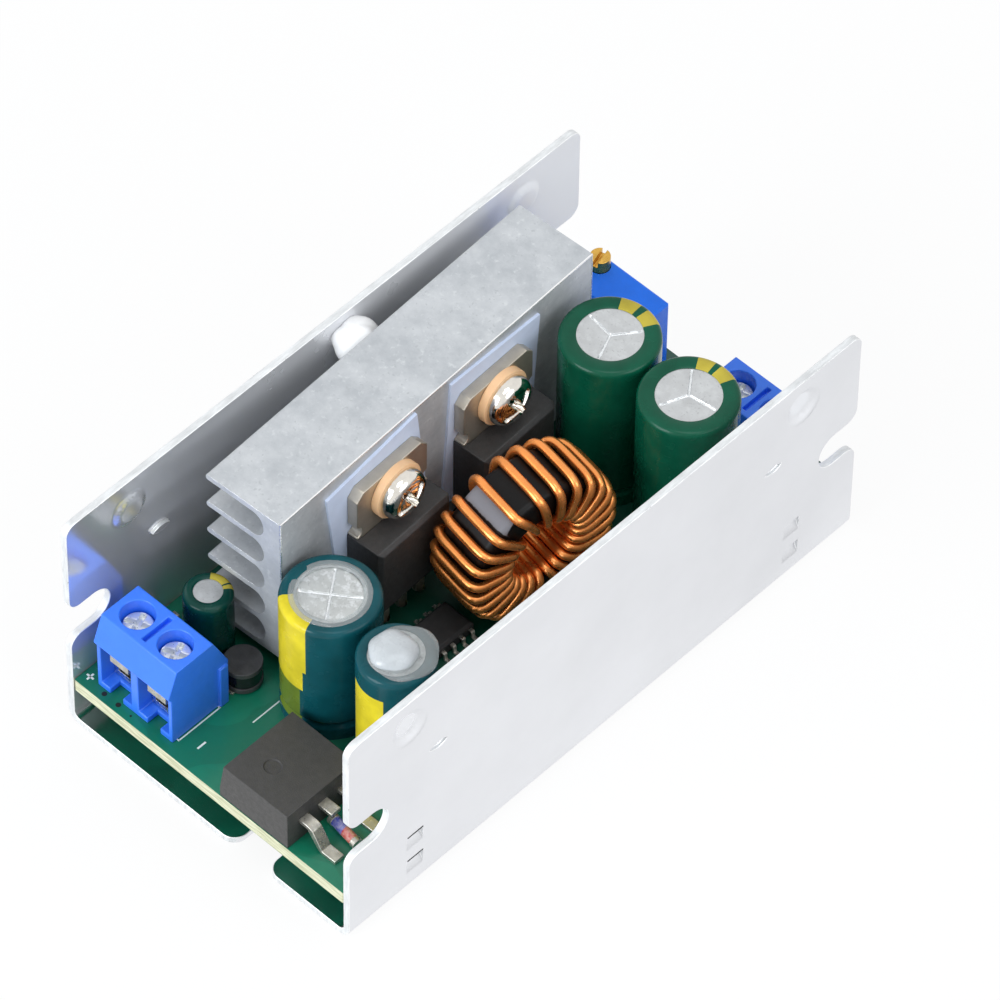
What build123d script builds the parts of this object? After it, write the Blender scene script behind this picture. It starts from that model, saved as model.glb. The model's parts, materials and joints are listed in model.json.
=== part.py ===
from build123d import *

import os
from math import cos, hypot, radians, sin

# Step-down power converter module in an open folded-aluminium tray.
# Drawn from the input end: X across the tray, Y along it (input end at Y = 0,
# output end at Y = TRAY_LENGTH), Z up from under the floor. Every piece is then
# moved by half the length, so the origin is the bottom centre of the tray. Millimetres.

# Tray: one folded sheet, open at the top and at both ends
TRAY_WIDTH = 38.0
TRAY_LENGTH = 70.0
TRAY_HEIGHT = 29.5
SHEET = 0.8
BEND_INSIDE_R = 0.8
TOP_CORNER_R = 1.3
END_SLOT_WIDTH = 4.3
END_SLOT_DEPTH = 5.3
END_SLOT_Z = 14.9
END_SLOT_LIP_R = 1.4
FLOOR_SLOT_WIDTH = 4.2
FLOOR_SLOT_X = 5.7
FLOOR_SLOT_LIP_R = 1.6
DIMPLE_D = 4.8
DIMPLE_FLOOR_D = 2.4
DIMPLE_DEPTH = 0.55
DIMPLE_BELOW_TOP = 3.8
DIMPLE_FROM_END = 8.1
NIB_LENGTH = 2.4
NIB_HALF_HEIGHT = 0.42
NIB_DEPTH = 0.35
NIB_BELOW_TOP = 10.0
NIB_FROM_END = 12.0
LANCE_WIDTH = 2.2
LANCE_HEIGHT = 1.9
LANCE_REACH = 0.85
LANCE_FROM_END = 8.85
LANCE_CLEARANCE = 0.15

# Circuit board, held at its long edges by the tray's lances
BOARD_UNDER = 5.0
BOARD_THICK = 1.6
BOARD_SIDE_GAP = 0.1
BOARD_END_GAP = 0.1
BOARD_CORNER_R = 0.8
LEAD_HOLE_GAP = 0.15
LEAD_BELOW_BOARD = 1.7

# Extruded heatsink with two tabbed transistors screwed to its face
HEATSINK_X = -5.4
HEATSINK_YAW = 2.7
HEATSINK_FROM_INPUT_END = 14.6
HEATSINK_FROM_OUTPUT_END = 10.6
HEATSINK_DEPTH = 9.5
HEATSINK_PLATE = 2.2
HEATSINK_BELOW_TOP = 0.2
HEATSINK_ABOVE_BOARD = 2.0
FIN_COUNT = 6
FIN_THICK = 1.2
FIN_TIP_R = 0.35
NEAR_TRANSISTOR_INSET = 14.0
FAR_TRANSISTOR_INSET = 15.5
TAB_WIDTH = 10.0
TAB_INSIDE_WIDTH = 8.6
TAB_THICK = 1.3
TAB_BELOW_HEATSINK = 2.95
TAB_ABOVE_BODY = 6.4
TAB_INTO_BODY = 8.2
TAB_CHAMFER = 0.9
TAB_NOTCH_R = 0.7
TAB_NOTCH_ABOVE_BODY = 1.0
TAB_HOLE_BELOW_TOP = 2.75
TAB_HOLE_D = 3.8
PACKAGE_WIDTH = 10.2
PACKAGE_HEIGHT = 9.2
PACKAGE_THICK = 4.4
PACKAGE_EDGE = 0.45
LEG_PITCH = 2.54
LEG_SHOULDER = 1.3
LEG_WIDTH = 0.8
LEG_THICK = 0.5
LEG_FROM_BACK = 2.4
LEG_SEAT_GAP = 0.05
LEG_IN_BODY = 1.6
PAD_THICK = 0.3
PAD_WIDTH = 12.9
PAD_HEIGHT = 17.6
PAD_HOLE_D = 4.0
PAD_ABOVE_HOLE = 4.6
PAD_SKEWS = (6.5, -4.0)
PAD_SHIFTS = (-0.9, 0.7)
BUSHING_FLANGE_D = 6.2
BUSHING_FLANGE = 0.9
BUSHING_SLEEVE = 1.2
BUSHING_GAP = 0.05
M3_D = 2.95
M3_BORE_GAP = 0.06
M3_HEAD_D = 5.4
M3_HEAD = 1.9
M3_HEAD_EDGE_R = 0.8
M3_TIP_PAST_PLATE = 1.6
M3_CROSS_WIDTH = 0.8
M3_CROSS_LENGTH = 3.2
M3_CROSS_DEPTH = 1.0

# Toroid choke standing on edge
CHOKE_X = 5.0
CHOKE_FROM_OUTPUT_END = 32.0
CHOKE_LEAN = 3.0
CHOKE_YAW = -8.0
CORE_OUTER_D = 17.0
CORE_INNER_D = 8.8
CORE_THICK = 6.0
CORE_EDGE_R = 0.8
WIRE_D = 0.9
WIRE_GAP = 0.06
WIRE_CORNER_R = 1.2
WIRE_EXIT_R = 0.75
CHOKE_ABOVE_BOARD = 0.15
FIRST_TURN_DEG = -78.0
DENSE_PITCH = 13.6
WIDE_PITCHES = (14.0, 15.0, 15.5, 14.5, 23.5, 14.0)
DENSE_COUNT_BEFORE = 9
DENSE_COUNT_AFTER = 8

# Two-pole screw terminals with rising clamps, in a frame at the screw line on the board
POLE_PITCH = 5.08
TERMINAL_WIDTH = 10.16
TERMINAL_HEIGHT = 10.2
INPUT_TERMINAL_X = -11.0
INPUT_SCREW_Y = 4.5
OUTPUT_TERMINAL_X = 10.4
OUTPUT_SCREW_FROM_END = 4.9
BASE_FRONT = -3.2
BASE_FRONT_TOP = 6.4
VISOR_FRONT = -3.6
VISOR_Z = 7.0
ROOF_FRONT = -2.4
ROOF_BACK = 2.5
HOUSING_BACK = 4.45
HOUSING_BACK_TOP = 6.0
FLOOR_THICK = 0.8
ENTRY_WIDTH = 4.1
ENTRY_TOP = 6.85
POCKET_FRONT = -2.95
POCKET_BACK = 3.0
POCKET_TOP = 7.2
SEAT_THICK = 0.55
SEAT_HOLE_D = 2.8
FLOOR_NOTCH_WIDTH = 1.7
FLOOR_NOTCH_BACK = -1.8
HEAD_WELL_D = 3.5
HEAD_D = 3.1
HEAD_THICK = 1.1
CLAMP_SCREW_D = 2.5
CROSS_WIDTH = 0.55
CROSS_LENGTH = 2.3
CROSS_DEPTH = 0.6
GROOVE_WIDTH = 0.55
GROOVE_FRONT = -1.75
GROOVE_BACK = 1.9
GROOVE_DEPTH = 0.8
RIB_PROUD = 0.3
RIB_FRONT = 3.05
RIB_BACK = 4.15
RIB_TOP = 5.8
RIB_GAP = 0.08
STRIP_THICK = 0.6
STRIP_Z = 4.35
STRIP_WIDTH = 2.5
STRIP_FRONT = -2.7
STRIP_BACK = 2.5
STRIP_LIP_WIDTH = 3.6
STRIP_LIP_DEPTH = 0.8
STRIP_LIP_TOP = 6.8
STRIP_PIN_WIDTH = 1.0
CLAMP_WIDTH = 3.9
CLAMP_DEPTH = 3.0
CLAMP_WALL = 0.55
CLAMP_BAR = 0.75
CLAMP_GAP = 0.1
THREAD_GAP = 0.05

# Multiturn trimmer
TRIMMER_X = -8.75
TRIMMER_FROM_OUTPUT_END = 4.35
TRIMMER_LENGTH = 9.5
TRIMMER_WIDTH = 4.8
TRIMMER_HEIGHT = 9.6
TRIMMER_FEET = 0.4
TRIMMER_FOOT_LENGTH = 1.0
TRIMMER_EDGE = 0.2
TRIMMER_SCREW_D = 2.1
TRIMMER_SCREW_PROUD = 1.5
TRIMMER_SCREW_DEEP = 3.0
TRIMMER_SCREW_INSET = 1.3
TRIMMER_SCREW_GAP = 0.05
TRIMMER_SLOT_WIDTH = 0.5
TRIMMER_SLOT_DEPTH = 0.7
TRIMMER_PIN_D = 0.5
TRIMMER_PIN_PITCH = 2.54

# Radial capacitors: name, x, y, sleeve diameter, height, lead pitch, vent arms
OUTPUT_CAPACITOR_A_FROM_END = 15.3
OUTPUT_CAPACITOR_B_FROM_END = 15.5
OUTPUT_CAPACITOR_B_FROM_WALL = 6.8
CAPACITORS = (
    ("output_capacitor_a", 0.6, TRAY_LENGTH - OUTPUT_CAPACITOR_A_FROM_END, 10.3, 20.3, 5.0, 3),
    (
        "output_capacitor_b", TRAY_WIDTH / 2 - SHEET - OUTPUT_CAPACITOR_B_FROM_WALL,
        TRAY_LENGTH - OUTPUT_CAPACITOR_B_FROM_END, 10.3, 20.3, 5.0, 3,
    ),
    ("input_capacitor_a", 1.3, 15.5, 10.3, 16.3, 5.0, 4),
    ("input_capacitor_b", 10.9, 15.0, 8.2, 16.3, 3.5, 4),
    ("supply_capacitor", -11.3, 11.62, 5.0, 9.4, 2.0, 0),
)
SLEEVE_THICK = 0.15
SLEEVE_LIP_SHARE = 0.3
CAN_EDGE_R = 0.6
CRIMP_DEPTH = 0.35
CRIMP_Z = 2.0
CRIMP_HALF = 0.7
CAPACITOR_LEAD_D = 0.6
VENT_WIDTH = 0.22
VENT_DEPTH = 0.12
VENT_SHARE = 0.62

# Flat power package at the input end
POWER_X = 6.35
POWER_Y = 5.05
POWER_LENGTH = 8.6
POWER_WIDTH = 9.8
POWER_THICK = 4.4
POWER_STRAIGHT = 1.25
POWER_TAPER = 5.0
POWER_TAB_REACH = 2.2
POWER_TAB_WIDTH = 8.6
POWER_TAB_THICK = 1.25
POWER_TAB_IN_BODY = 3.0
POWER_LEAD_WIDTH = 1.25
POWER_LEAD_THICK = 0.5
POWER_LEAD_Z = 2.5
POWER_LEAD_IN_BODY = 1.2
POWER_LEAD_STEPS = (1.0, 2.2, 4.1)
POWER_LEAD_BEND_R = 0.45
POWER_STUB = 1.3
EJECTOR_D = 1.7
EJECTOR_DEPTH = 0.12
EJECTOR_FROM_CENTRE = (-0.9, -1.3)

# Drum inductor
DRUM_X = -6.5
DRUM_Y = 11.4
DRUM_D = 3.9
DRUM_WAIST_D = 2.0
DRUM_HEIGHT = 2.9
DRUM_FLANGE = 0.6
DRUM_COIL_INSET = 0.12
DRUM_COIL_GAP = 0.05
DRUM_FOOT_THICK = 0.25
DRUM_FOOT_LENGTH = 1.3
DRUM_FOOT_WIDTH = 1.2
DRUM_FOOT_PAST = 0.15

# Eight-lead controller chip by the near end of the choke
CHIP_X = 3.3
CHIP_Y = 28.6
CHIP_LENGTH = 4.9
CHIP_WIDTH = 3.9
CHIP_THICK = 1.45
CHIP_STANDOFF = 0.15
CHIP_EDGE = 0.3
CHIP_LEAD_COUNT = 4
CHIP_LEAD_PITCH = 1.27
CHIP_LEAD_WIDTH = 0.42
CHIP_LEAD_THICK = 0.2
CHIP_LEAD_REACH = 1.05
CHIP_LEAD_STEP = 0.4
CHIP_LEAD_Z = 0.75

# Glass diode between the leads of the power package
DIODE_X = 13.4
DIODE_Y = 5.1
DIODE_YAW = -8.0
DIODE_GLASS_LENGTH = 2.9
DIODE_GLASS_D = 1.45
DIODE_CAP_LENGTH = 0.6
DIODE_CAP_D = 1.6

# Chip resistors and capacitors: x, y, length, width, height, turned by
CHIP_PARTS_FROM_WALL = 1.7
CHIP_PARTS_FROM_OUTPUT_END = 3.4
CHIP_PARTS = (
    (TRAY_WIDTH / 2 - SHEET - CHIP_PARTS_FROM_WALL, 12.2, 2.0, 1.2, 0.6, 90),
    (7.6, 21.6, 2.0, 1.2, 0.9, 0),
    (11.6, 21.4, 1.6, 0.8, 0.6, 0),
    (15.4, 21.6, 2.0, 1.2, 0.6, 90),
    (-3.0, 21.3, 2.0, 1.2, 0.9, 0),
    (14.2, 34.0, 1.6, 0.8, 0.6, 0),
    (14.2, 37.2, 2.0, 1.2, 0.9, 0),
    (14.0, 46.2, 1.6, 0.8, 0.6, 90),
    (SHEET + CHIP_PARTS_FROM_WALL - TRAY_WIDTH / 2, 11.6, 1.6, 0.8, 0.6, 90),
    (1.2, TRAY_LENGTH - 2 * CHIP_PARTS_FROM_OUTPUT_END, 2.0, 1.2, 0.6, 0),
    (1.2, TRAY_LENGTH - CHIP_PARTS_FROM_OUTPUT_END, 1.6, 0.8, 0.6, 0),
)
CHIP_END = 0.35

# Solder, glue and sealant
SOLDER_R = 1.0
SOLDER_HEIGHT = 1.0
SOLDER_TIP_WALL = 0.12
GLUE_DAB_HEIGHT = 1.4
GLUE_DAB_SHARE = 0.8
GLUE_BEAD_R = 0.45
GLUE_BEAD_INSET = 0.7
SEALANT_Y = 37.2
SEALANT_D = 4.2
SEALANT_BELOW_TOP = 3.1
SEALANT_INTO_FINS = 1.2

# Worked-out levels and frames
BOARD_TOP = BOARD_UNDER + BOARD_THICK
LEAD_TIP_Z = BOARD_UNDER - LEAD_BELOW_BOARD
WALL_INSIDE = TRAY_WIDTH / 2 - SHEET
HEATSINK_TOP = TRAY_HEIGHT - HEATSINK_BELOW_TOP
HEATSINK_UNDER = BOARD_TOP + HEATSINK_ABOVE_BOARD
FIN_PITCH = (HEATSINK_TOP - HEATSINK_UNDER - FIN_THICK) / (FIN_COUNT - 1)
HEATSINK_LENGTH = TRAY_LENGTH - HEATSINK_FROM_INPUT_END - HEATSINK_FROM_OUTPUT_END
HEATSINK_Y = HEATSINK_FROM_INPUT_END + HEATSINK_LENGTH / 2
HEATSINK_FRAME = Pos(HEATSINK_X, HEATSINK_Y, 0) * Rot(0, 0, HEATSINK_YAW)
TRANSISTORS = (
    ("near", NEAR_TRANSISTOR_INSET - HEATSINK_LENGTH / 2, PAD_SKEWS[0], PAD_SHIFTS[0]),
    ("far", HEATSINK_LENGTH / 2 - FAR_TRANSISTOR_INSET, PAD_SKEWS[1], PAD_SHIFTS[1]),
)
TAB_TOP = HEATSINK_TOP - TAB_BELOW_HEATSINK
TAB_HOLE_Z = TAB_TOP - TAB_HOLE_BELOW_TOP
TAB_FRONT = PAD_THICK + TAB_THICK
BODY_TOP = TAB_TOP - TAB_ABOVE_BODY
BODY_UNDER = BODY_TOP - PACKAGE_HEIGHT
LEG_X = PAD_THICK + LEG_FROM_BACK
TURN_OUTER_R = CORE_OUTER_D / 2 + WIRE_GAP + WIRE_D / 2
TURN_INNER_R = CORE_INNER_D / 2 - WIRE_GAP - WIRE_D / 2
TURN_FACE_X = CORE_THICK / 2 + WIRE_GAP + WIRE_D / 2
CHOKE_Z = (
    BOARD_TOP + CHOKE_ABOVE_BOARD
    + (TURN_OUTER_R + WIRE_D / 2) * cos(radians(CHOKE_LEAN))
    + (TURN_FACE_X - WIRE_CORNER_R) * sin(radians(CHOKE_LEAN))
)
CHOKE_Y = TRAY_LENGTH - CHOKE_FROM_OUTPUT_END
CHOKE_FRAME = Pos(CHOKE_X, CHOKE_Y, CHOKE_Z) * Rot(0, 0, CHOKE_YAW) * Rot(0, CHOKE_LEAN, 0)
POLES = (("1", -POLE_PITCH / 2), ("2", POLE_PITCH / 2))
TERMINALS = (
    ("input", Pos(INPUT_TERMINAL_X, INPUT_SCREW_Y, BOARD_TOP)),
    (
        "output",
        Pos(OUTPUT_TERMINAL_X, TRAY_LENGTH - OUTPUT_SCREW_FROM_END, BOARD_TOP) * Rot(0, 0, 180),
    ),
)
STRIP_TOP = STRIP_Z + STRIP_THICK
HEAD_SEAT_Z = POCKET_TOP + SEAT_THICK
TRIMMER_Y = TRAY_LENGTH - TRIMMER_FROM_OUTPUT_END
TRIMMER_UNDER = BOARD_TOP + TRIMMER_FEET
TRIMMER_TOP = TRIMMER_UNDER + TRIMMER_HEIGHT
TRIMMER_SCREW_X = TRIMMER_X - TRIMMER_LENGTH / 2 + TRIMMER_SCREW_INSET
TRIMMER_SCREW_Y = TRIMMER_Y + TRIMMER_WIDTH / 2 - TRIMMER_SCREW_INSET


def block(x0, x1, y0, y1, z0, z1):
    """A box between two corners."""
    centre = Pos((x0 + x1) / 2, (y0 + y1) / 2, (z0 + z1) / 2)
    return centre * Box(x1 - x0, y1 - y0, z1 - z0)


def post(x, y, z0, z1, diameter):
    """A round upright from z0 to z1."""
    return Pos(x, y, (z0 + z1) / 2) * Cylinder(diameter / 2, z1 - z0)


def cross_rod(x0, x1, y, z, diameter):
    """A round rod along X from x0 to x1."""
    return Pos((x0 + x1) / 2, y, z) * Rot(0, 90, 0) * Cylinder(diameter / 2, x1 - x0)


def bent_strip(points, width, thick, bend_r):
    """A flat strip of metal bent along a path of points, wide along Y."""
    path = FilletPolyline(*points, radius=bend_r)
    start = Plane(origin=path @ 0, x_dir=(0, 1, 0), z_dir=path % 0)
    return sweep(start * Rectangle(width, thick), path=path)


def cross_recess(z_top, width, length, depth):
    """The cutter for a cross-shaped driver recess at the origin, down from z_top."""
    arm = block(-length / 2, length / 2, -width / 2, width / 2, z_top - depth, z_top + 0.1)
    return arm + Rot(0, 0, 90) * arm


# Tray
def end_slot(depth, width):
    """The flat outline of an open-ended slot that runs from the origin along +X."""
    radius = width / 2
    straight = Pos((depth - radius) / 2, 0) * Rectangle(depth - radius, width)
    mouth = Pos(-radius / 2, 0) * Rectangle(radius, width)
    return straight + mouth + Pos(depth - radius, 0) * Circle(radius)


def slotted_blank(low, high, slot_centre, slot_width, lip_r):
    """A flat sheet from low to high across, as long as the tray, with a slot in each end."""
    blank = Pos(TRAY_LENGTH / 2, (low + high) / 2) * Rectangle(TRAY_LENGTH, high - low)
    slot = end_slot(END_SLOT_DEPTH, slot_width)
    blank -= Pos(0, slot_centre) * slot
    blank -= Pos(TRAY_LENGTH, slot_centre) * Rot(0, 0, 180) * slot
    lips = [
        v for v in blank.vertices()
        if min(v.X, TRAY_LENGTH - v.X) < 0.001
        and abs(abs(v.Y - slot_centre) - slot_width / 2) < 0.001
    ]
    return fillet(lips, lip_r)


def lance(side, y_centre, z_top):
    """One tongue sheared at its top edge and pushed inwards, still joined to the wall below."""
    outer = side * TRAY_WIDTH / 2
    inner = side * WALL_INSIDE
    reach = side * LANCE_REACH
    z_low = z_top - LANCE_HEIGHT
    section = Polyline(
        (outer, 0, z_low), (inner, 0, z_low), (inner - reach, 0, z_top), (outer - reach, 0, z_top),
        close=True,
    )
    tongue = extrude(make_face(section), amount=LANCE_WIDTH / 2, both=True)
    return Pos(0, y_centre, 0) * tongue


def side_wall(side):
    """One wall with its end slots, pressed dimples, small nibs and board lances."""
    outer = side * TRAY_WIDTH / 2
    inner = side * WALL_INSIDE
    blank = slotted_blank(
        SHEET + BEND_INSIDE_R, TRAY_HEIGHT, END_SLOT_Z, END_SLOT_WIDTH, END_SLOT_LIP_R
    )
    blank = fillet(blank.vertices().group_by(Axis.Y)[-1], TOP_CORNER_R)
    face_plane = Plane(origin=(outer, 0, 0), x_dir=(0, 1, 0), z_dir=(1, 0, 0))
    wall = extrude(face_plane * blank, amount=-side * SHEET)
    inward = Rot(0, -90 * side, 0)
    dimple = Pos(0, 0, DIMPLE_DEPTH / 2) * Cone(DIMPLE_D / 2, DIMPLE_FLOOR_D / 2, DIMPLE_DEPTH)
    half_nib = NIB_LENGTH / 2
    leaf = ThreePointArc((0, -half_nib), (NIB_HALF_HEIGHT, 0), (0, half_nib))
    leaf += ThreePointArc((0, half_nib), (-NIB_HALF_HEIGHT, 0), (0, -half_nib))
    nib = extrude(make_face(leaf), amount=NIB_DEPTH)
    for y in (DIMPLE_FROM_END, TRAY_LENGTH - DIMPLE_FROM_END):
        z = TRAY_HEIGHT - DIMPLE_BELOW_TOP
        wall -= Pos(outer, y, z) * inward * dimple
        wall += Pos(inner, y, z) * inward * dimple
    for y in (NIB_FROM_END, TRAY_LENGTH - NIB_FROM_END):
        z = TRAY_HEIGHT - NIB_BELOW_TOP
        wall -= Pos(outer, y, z) * inward * nib
        wall += Pos(inner, y, z) * inward * nib
    for y in (LANCE_FROM_END, TRAY_LENGTH - LANCE_FROM_END):
        for z_top in (BOARD_UNDER, BOARD_TOP + LANCE_CLEARANCE + LANCE_HEIGHT):
            window = Pos(outer, y, z_top - LANCE_HEIGHT / 2)
            wall -= window * Box(4 * SHEET, LANCE_WIDTH, LANCE_HEIGHT)
            wall += lance(side, y, z_top)
    return wall


def bend(side):
    """The quarter-round fold between the floor and one wall."""
    outer = BEND_INSIDE_R + SHEET
    along = Rot(90, 0, 0)
    ring = along * Cylinder(outer, TRAY_LENGTH) - along * Cylinder(BEND_INSIDE_R, TRAY_LENGTH)
    quarter = Pos(side * outer / 2, 0, -outer / 2) * Box(outer, TRAY_LENGTH, outer)
    place = Pos(side * (TRAY_WIDTH / 2 - outer), TRAY_LENGTH / 2, outer)
    return place * (ring & quarter)


def tray():
    """The folded tray."""
    half = TRAY_WIDTH / 2 - SHEET - BEND_INSIDE_R
    blank = slotted_blank(-half, half, -FLOOR_SLOT_X, FLOOR_SLOT_WIDTH, FLOOR_SLOT_LIP_R)
    floor = extrude(Rot(0, 0, 90) * blank, amount=SHEET)
    return floor + bend(-1) + bend(1) + side_wall(-1) + side_wall(1)


# Leads that go through the board
def terminal_pin_places():
    """Board positions of the four terminal pins."""
    y = STRIP_BACK - STRIP_THICK / 2
    return [(frame * Pos(x, y, 0)).position for _, frame in TERMINALS for _, x in POLES]


def transistor_leg_places():
    """Board positions of the six transistor legs."""
    return [
        (HEATSINK_FRAME * Pos(LEG_X, y + step * LEG_PITCH, 0)).position
        for _, y, _, _ in TRANSISTORS
        for step in (-1, 0, 1)
    ]


def trimmer_pin_places():
    """Board positions of the three trimmer pins."""
    return [Vector(TRIMMER_X + step * TRIMMER_PIN_PITCH, TRIMMER_Y, 0) for step in (-1, 0, 1)]


def capacitor_lead_places(capacitor):
    """Board positions of one capacitor's two leads."""
    _, x, y, _, _, pitch, _ = capacitor
    return [Vector(x - pitch / 2, y, 0), Vector(x + pitch / 2, y, 0)]


def lead_places():
    """Every lead through the board, with the diameter that just clears it."""
    choke = choke_path_points()
    leads = [(p, hypot(STRIP_PIN_WIDTH, STRIP_THICK)) for p in terminal_pin_places()]
    leads += [(p, hypot(LEG_WIDTH, LEG_THICK)) for p in transistor_leg_places()]
    leads += [(p, TRIMMER_PIN_D) for p in trimmer_pin_places()]
    leads += [(p, CAPACITOR_LEAD_D) for c in CAPACITORS for p in capacitor_lead_places(c)]
    leads += [(choke[0], WIRE_D), (choke[-1], WIRE_D)]
    return leads


def circuit_board():
    """The board with a hole for every lead."""
    half = WALL_INSIDE - BOARD_SIDE_GAP
    board = block(
        -half, half, BOARD_END_GAP, TRAY_LENGTH - BOARD_END_GAP, BOARD_UNDER, BOARD_TOP
    )
    board = fillet(board.edges().filter_by(Axis.Z), BOARD_CORNER_R)
    holes = [
        post(p.X, p.Y, BOARD_UNDER - 1, BOARD_TOP + 1, diameter + 2 * LEAD_HOLE_GAP)
        for p, diameter in lead_places()
    ]
    return board - holes


def solder_joints():
    """A cone of solder round each lead under the board."""
    joints = []
    for p, diameter in lead_places():
        tip_r = diameter / 2 + SOLDER_TIP_WALL
        base_r = max(SOLDER_R, tip_r + SOLDER_TIP_WALL)
        cone = Cone(tip_r, base_r, SOLDER_HEIGHT) - Cylinder(diameter / 2, SOLDER_HEIGHT)
        joints.append(Pos(p.X, p.Y, BOARD_UNDER - SOLDER_HEIGHT / 2) * cone)
    return joints


# Heatsink group, in the heatsink's own frame: +X is the face that carries the transistors
def heatsink():
    """The extrusion: a base plate with level fins whose gaps end in full rounds."""
    height = HEATSINK_TOP - HEATSINK_UNDER
    section = Pos(-HEATSINK_DEPTH / 2, HEATSINK_UNDER + height / 2) * Rectangle(HEATSINK_DEPTH, height)
    gap = FIN_PITCH - FIN_THICK
    reach = HEATSINK_DEPTH - HEATSINK_PLATE
    for i in range(FIN_COUNT - 1):
        z = HEATSINK_UNDER + FIN_THICK / 2 + (i + 0.5) * FIN_PITCH
        section -= Pos(-HEATSINK_DEPTH, z) * end_slot(reach, gap)
    section = fillet(section.vertices().group_by(Axis.X)[0], FIN_TIP_R)
    bar = extrude(Plane.XZ * section, amount=HEATSINK_LENGTH / 2, both=True)
    for _, y, _, _ in TRANSISTORS:
        deep = HEATSINK_PLATE + M3_TIP_PAST_PLATE + 0.3
        bar -= cross_rod(-deep, 1, y, TAB_HOLE_Z, M3_D + 2 * M3_BORE_GAP)
    return HEATSINK_FRAME * bar


def insulating_pad(y, skew, shift):
    """A thin pad under a transistor, turned a little about its screw hole."""
    left = shift - PAD_WIDTH / 2
    pad = block(0, PAD_THICK, left, left + PAD_WIDTH, PAD_ABOVE_HOLE - PAD_HEIGHT, PAD_ABOVE_HOLE)
    pad -= cross_rod(-1, 1, 0, 0, PAD_HOLE_D)
    return HEATSINK_FRAME * Pos(0, y, TAB_HOLE_Z) * Rot(skew, 0, 0) * pad


def transistor_leg(y):
    """One leg: a wide shoulder under the body, then a narrow pin through the board."""
    x0 = LEG_X - LEG_THICK / 2
    x1 = LEG_X + LEG_THICK / 2
    shoulder_z = BOARD_TOP + LEG_SEAT_GAP
    shoulder = block(x0, x1, y - LEG_SHOULDER / 2, y + LEG_SHOULDER / 2, shoulder_z, BODY_UNDER + LEG_IN_BODY)
    return shoulder + block(x0, x1, y - LEG_WIDTH / 2, y + LEG_WIDTH / 2, LEAD_TIP_Z, shoulder_z)


def transistor_leads(y):
    """The mounting tab with its middle leg, and the two outer legs."""
    upper = block(PAD_THICK, TAB_FRONT, y - TAB_WIDTH / 2, y + TAB_WIDTH / 2, BODY_TOP, TAB_TOP)
    upper = chamfer(upper.edges().filter_by(Axis.X).group_by(Axis.Z)[-1], TAB_CHAMFER)
    for side in (-1, 1):
        notch_y = y + side * TAB_WIDTH / 2
        upper -= cross_rod(-1, 3, notch_y, BODY_TOP + TAB_NOTCH_ABOVE_BODY, 2 * TAB_NOTCH_R)
    upper -= cross_rod(-1, 3, y, TAB_HOLE_Z, TAB_HOLE_D)
    half = TAB_INSIDE_WIDTH / 2
    lower = block(PAD_THICK, TAB_FRONT, y - half, y + half, BODY_TOP - TAB_INTO_BODY, BODY_TOP)
    link_top = BODY_UNDER + LEG_IN_BODY
    link = block(
        TAB_FRONT, LEG_X - LEG_THICK / 2, y - LEG_SHOULDER / 2, y + LEG_SHOULDER / 2,
        BODY_TOP - TAB_INTO_BODY, link_top,
    )
    tab = upper + lower + link + transistor_leg(y)
    return [tab, transistor_leg(y - LEG_PITCH), transistor_leg(y + LEG_PITCH)]


def transistor_body(y):
    """The moulded body round the lower tab."""
    half = PACKAGE_WIDTH / 2
    body = block(PAD_THICK, PAD_THICK + PACKAGE_THICK, y - half, y + half, BODY_UNDER, BODY_TOP)
    body = chamfer(body.faces().sort_by(Axis.X)[-1].edges(), PACKAGE_EDGE)
    return HEATSINK_FRAME * (body - transistor_leads(y))


def bushing(y):
    """The insulating shoulder washer in the tab's hole."""
    sleeve_d = TAB_HOLE_D - 2 * BUSHING_GAP
    washer = cross_rod(TAB_FRONT, TAB_FRONT + BUSHING_FLANGE, y, TAB_HOLE_Z, BUSHING_FLANGE_D)
    washer += cross_rod(TAB_FRONT - BUSHING_SLEEVE, TAB_FRONT, y, TAB_HOLE_Z, sleeve_d)
    washer -= cross_rod(-1, 5, y, TAB_HOLE_Z, M3_D + 2 * M3_BORE_GAP)
    return HEATSINK_FRAME * washer


def heatsink_screw(y):
    """A pan-head screw with a cross recess, along X into the heatsink."""
    seat = TAB_FRONT + BUSHING_FLANGE
    tip = -HEATSINK_PLATE - M3_TIP_PAST_PLATE
    head = Pos(0, 0, M3_HEAD / 2) * Cylinder(M3_HEAD_D / 2, M3_HEAD)
    head = fillet(head.edges().group_by(Axis.Z)[-1], M3_HEAD_EDGE_R)
    head -= cross_recess(M3_HEAD, M3_CROSS_WIDTH, M3_CROSS_LENGTH, M3_CROSS_DEPTH)
    head = Pos(seat, y, TAB_HOLE_Z) * Rot(0, 90, 0) * Rot(0, 0, 30) * head
    return HEATSINK_FRAME * (head + cross_rod(tip, seat, y, TAB_HOLE_Z, M3_D))


# Choke, in its own frame: the ring's axis is X
def choke_core():
    """The ring core with rounded edges."""
    ring = Cylinder(CORE_OUTER_D / 2, CORE_THICK) - Cylinder(CORE_INNER_D / 2, CORE_THICK)
    ring = fillet(ring.edges().filter_by(GeomType.CIRCLE), CORE_EDGE_R)
    return CHOKE_FRAME * Rot(0, 90, 0) * ring


def turn_angles():
    """The angle of each turn inside the ring: close at the sides, open at the top."""
    pitches = [DENSE_PITCH] * DENSE_COUNT_BEFORE + list(WIDE_PITCHES) + [DENSE_PITCH] * DENSE_COUNT_AFTER
    angles = [FIRST_TURN_DEG]
    for pitch in pitches:
        angles.append(angles[-1] + pitch)
    return angles


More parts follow.
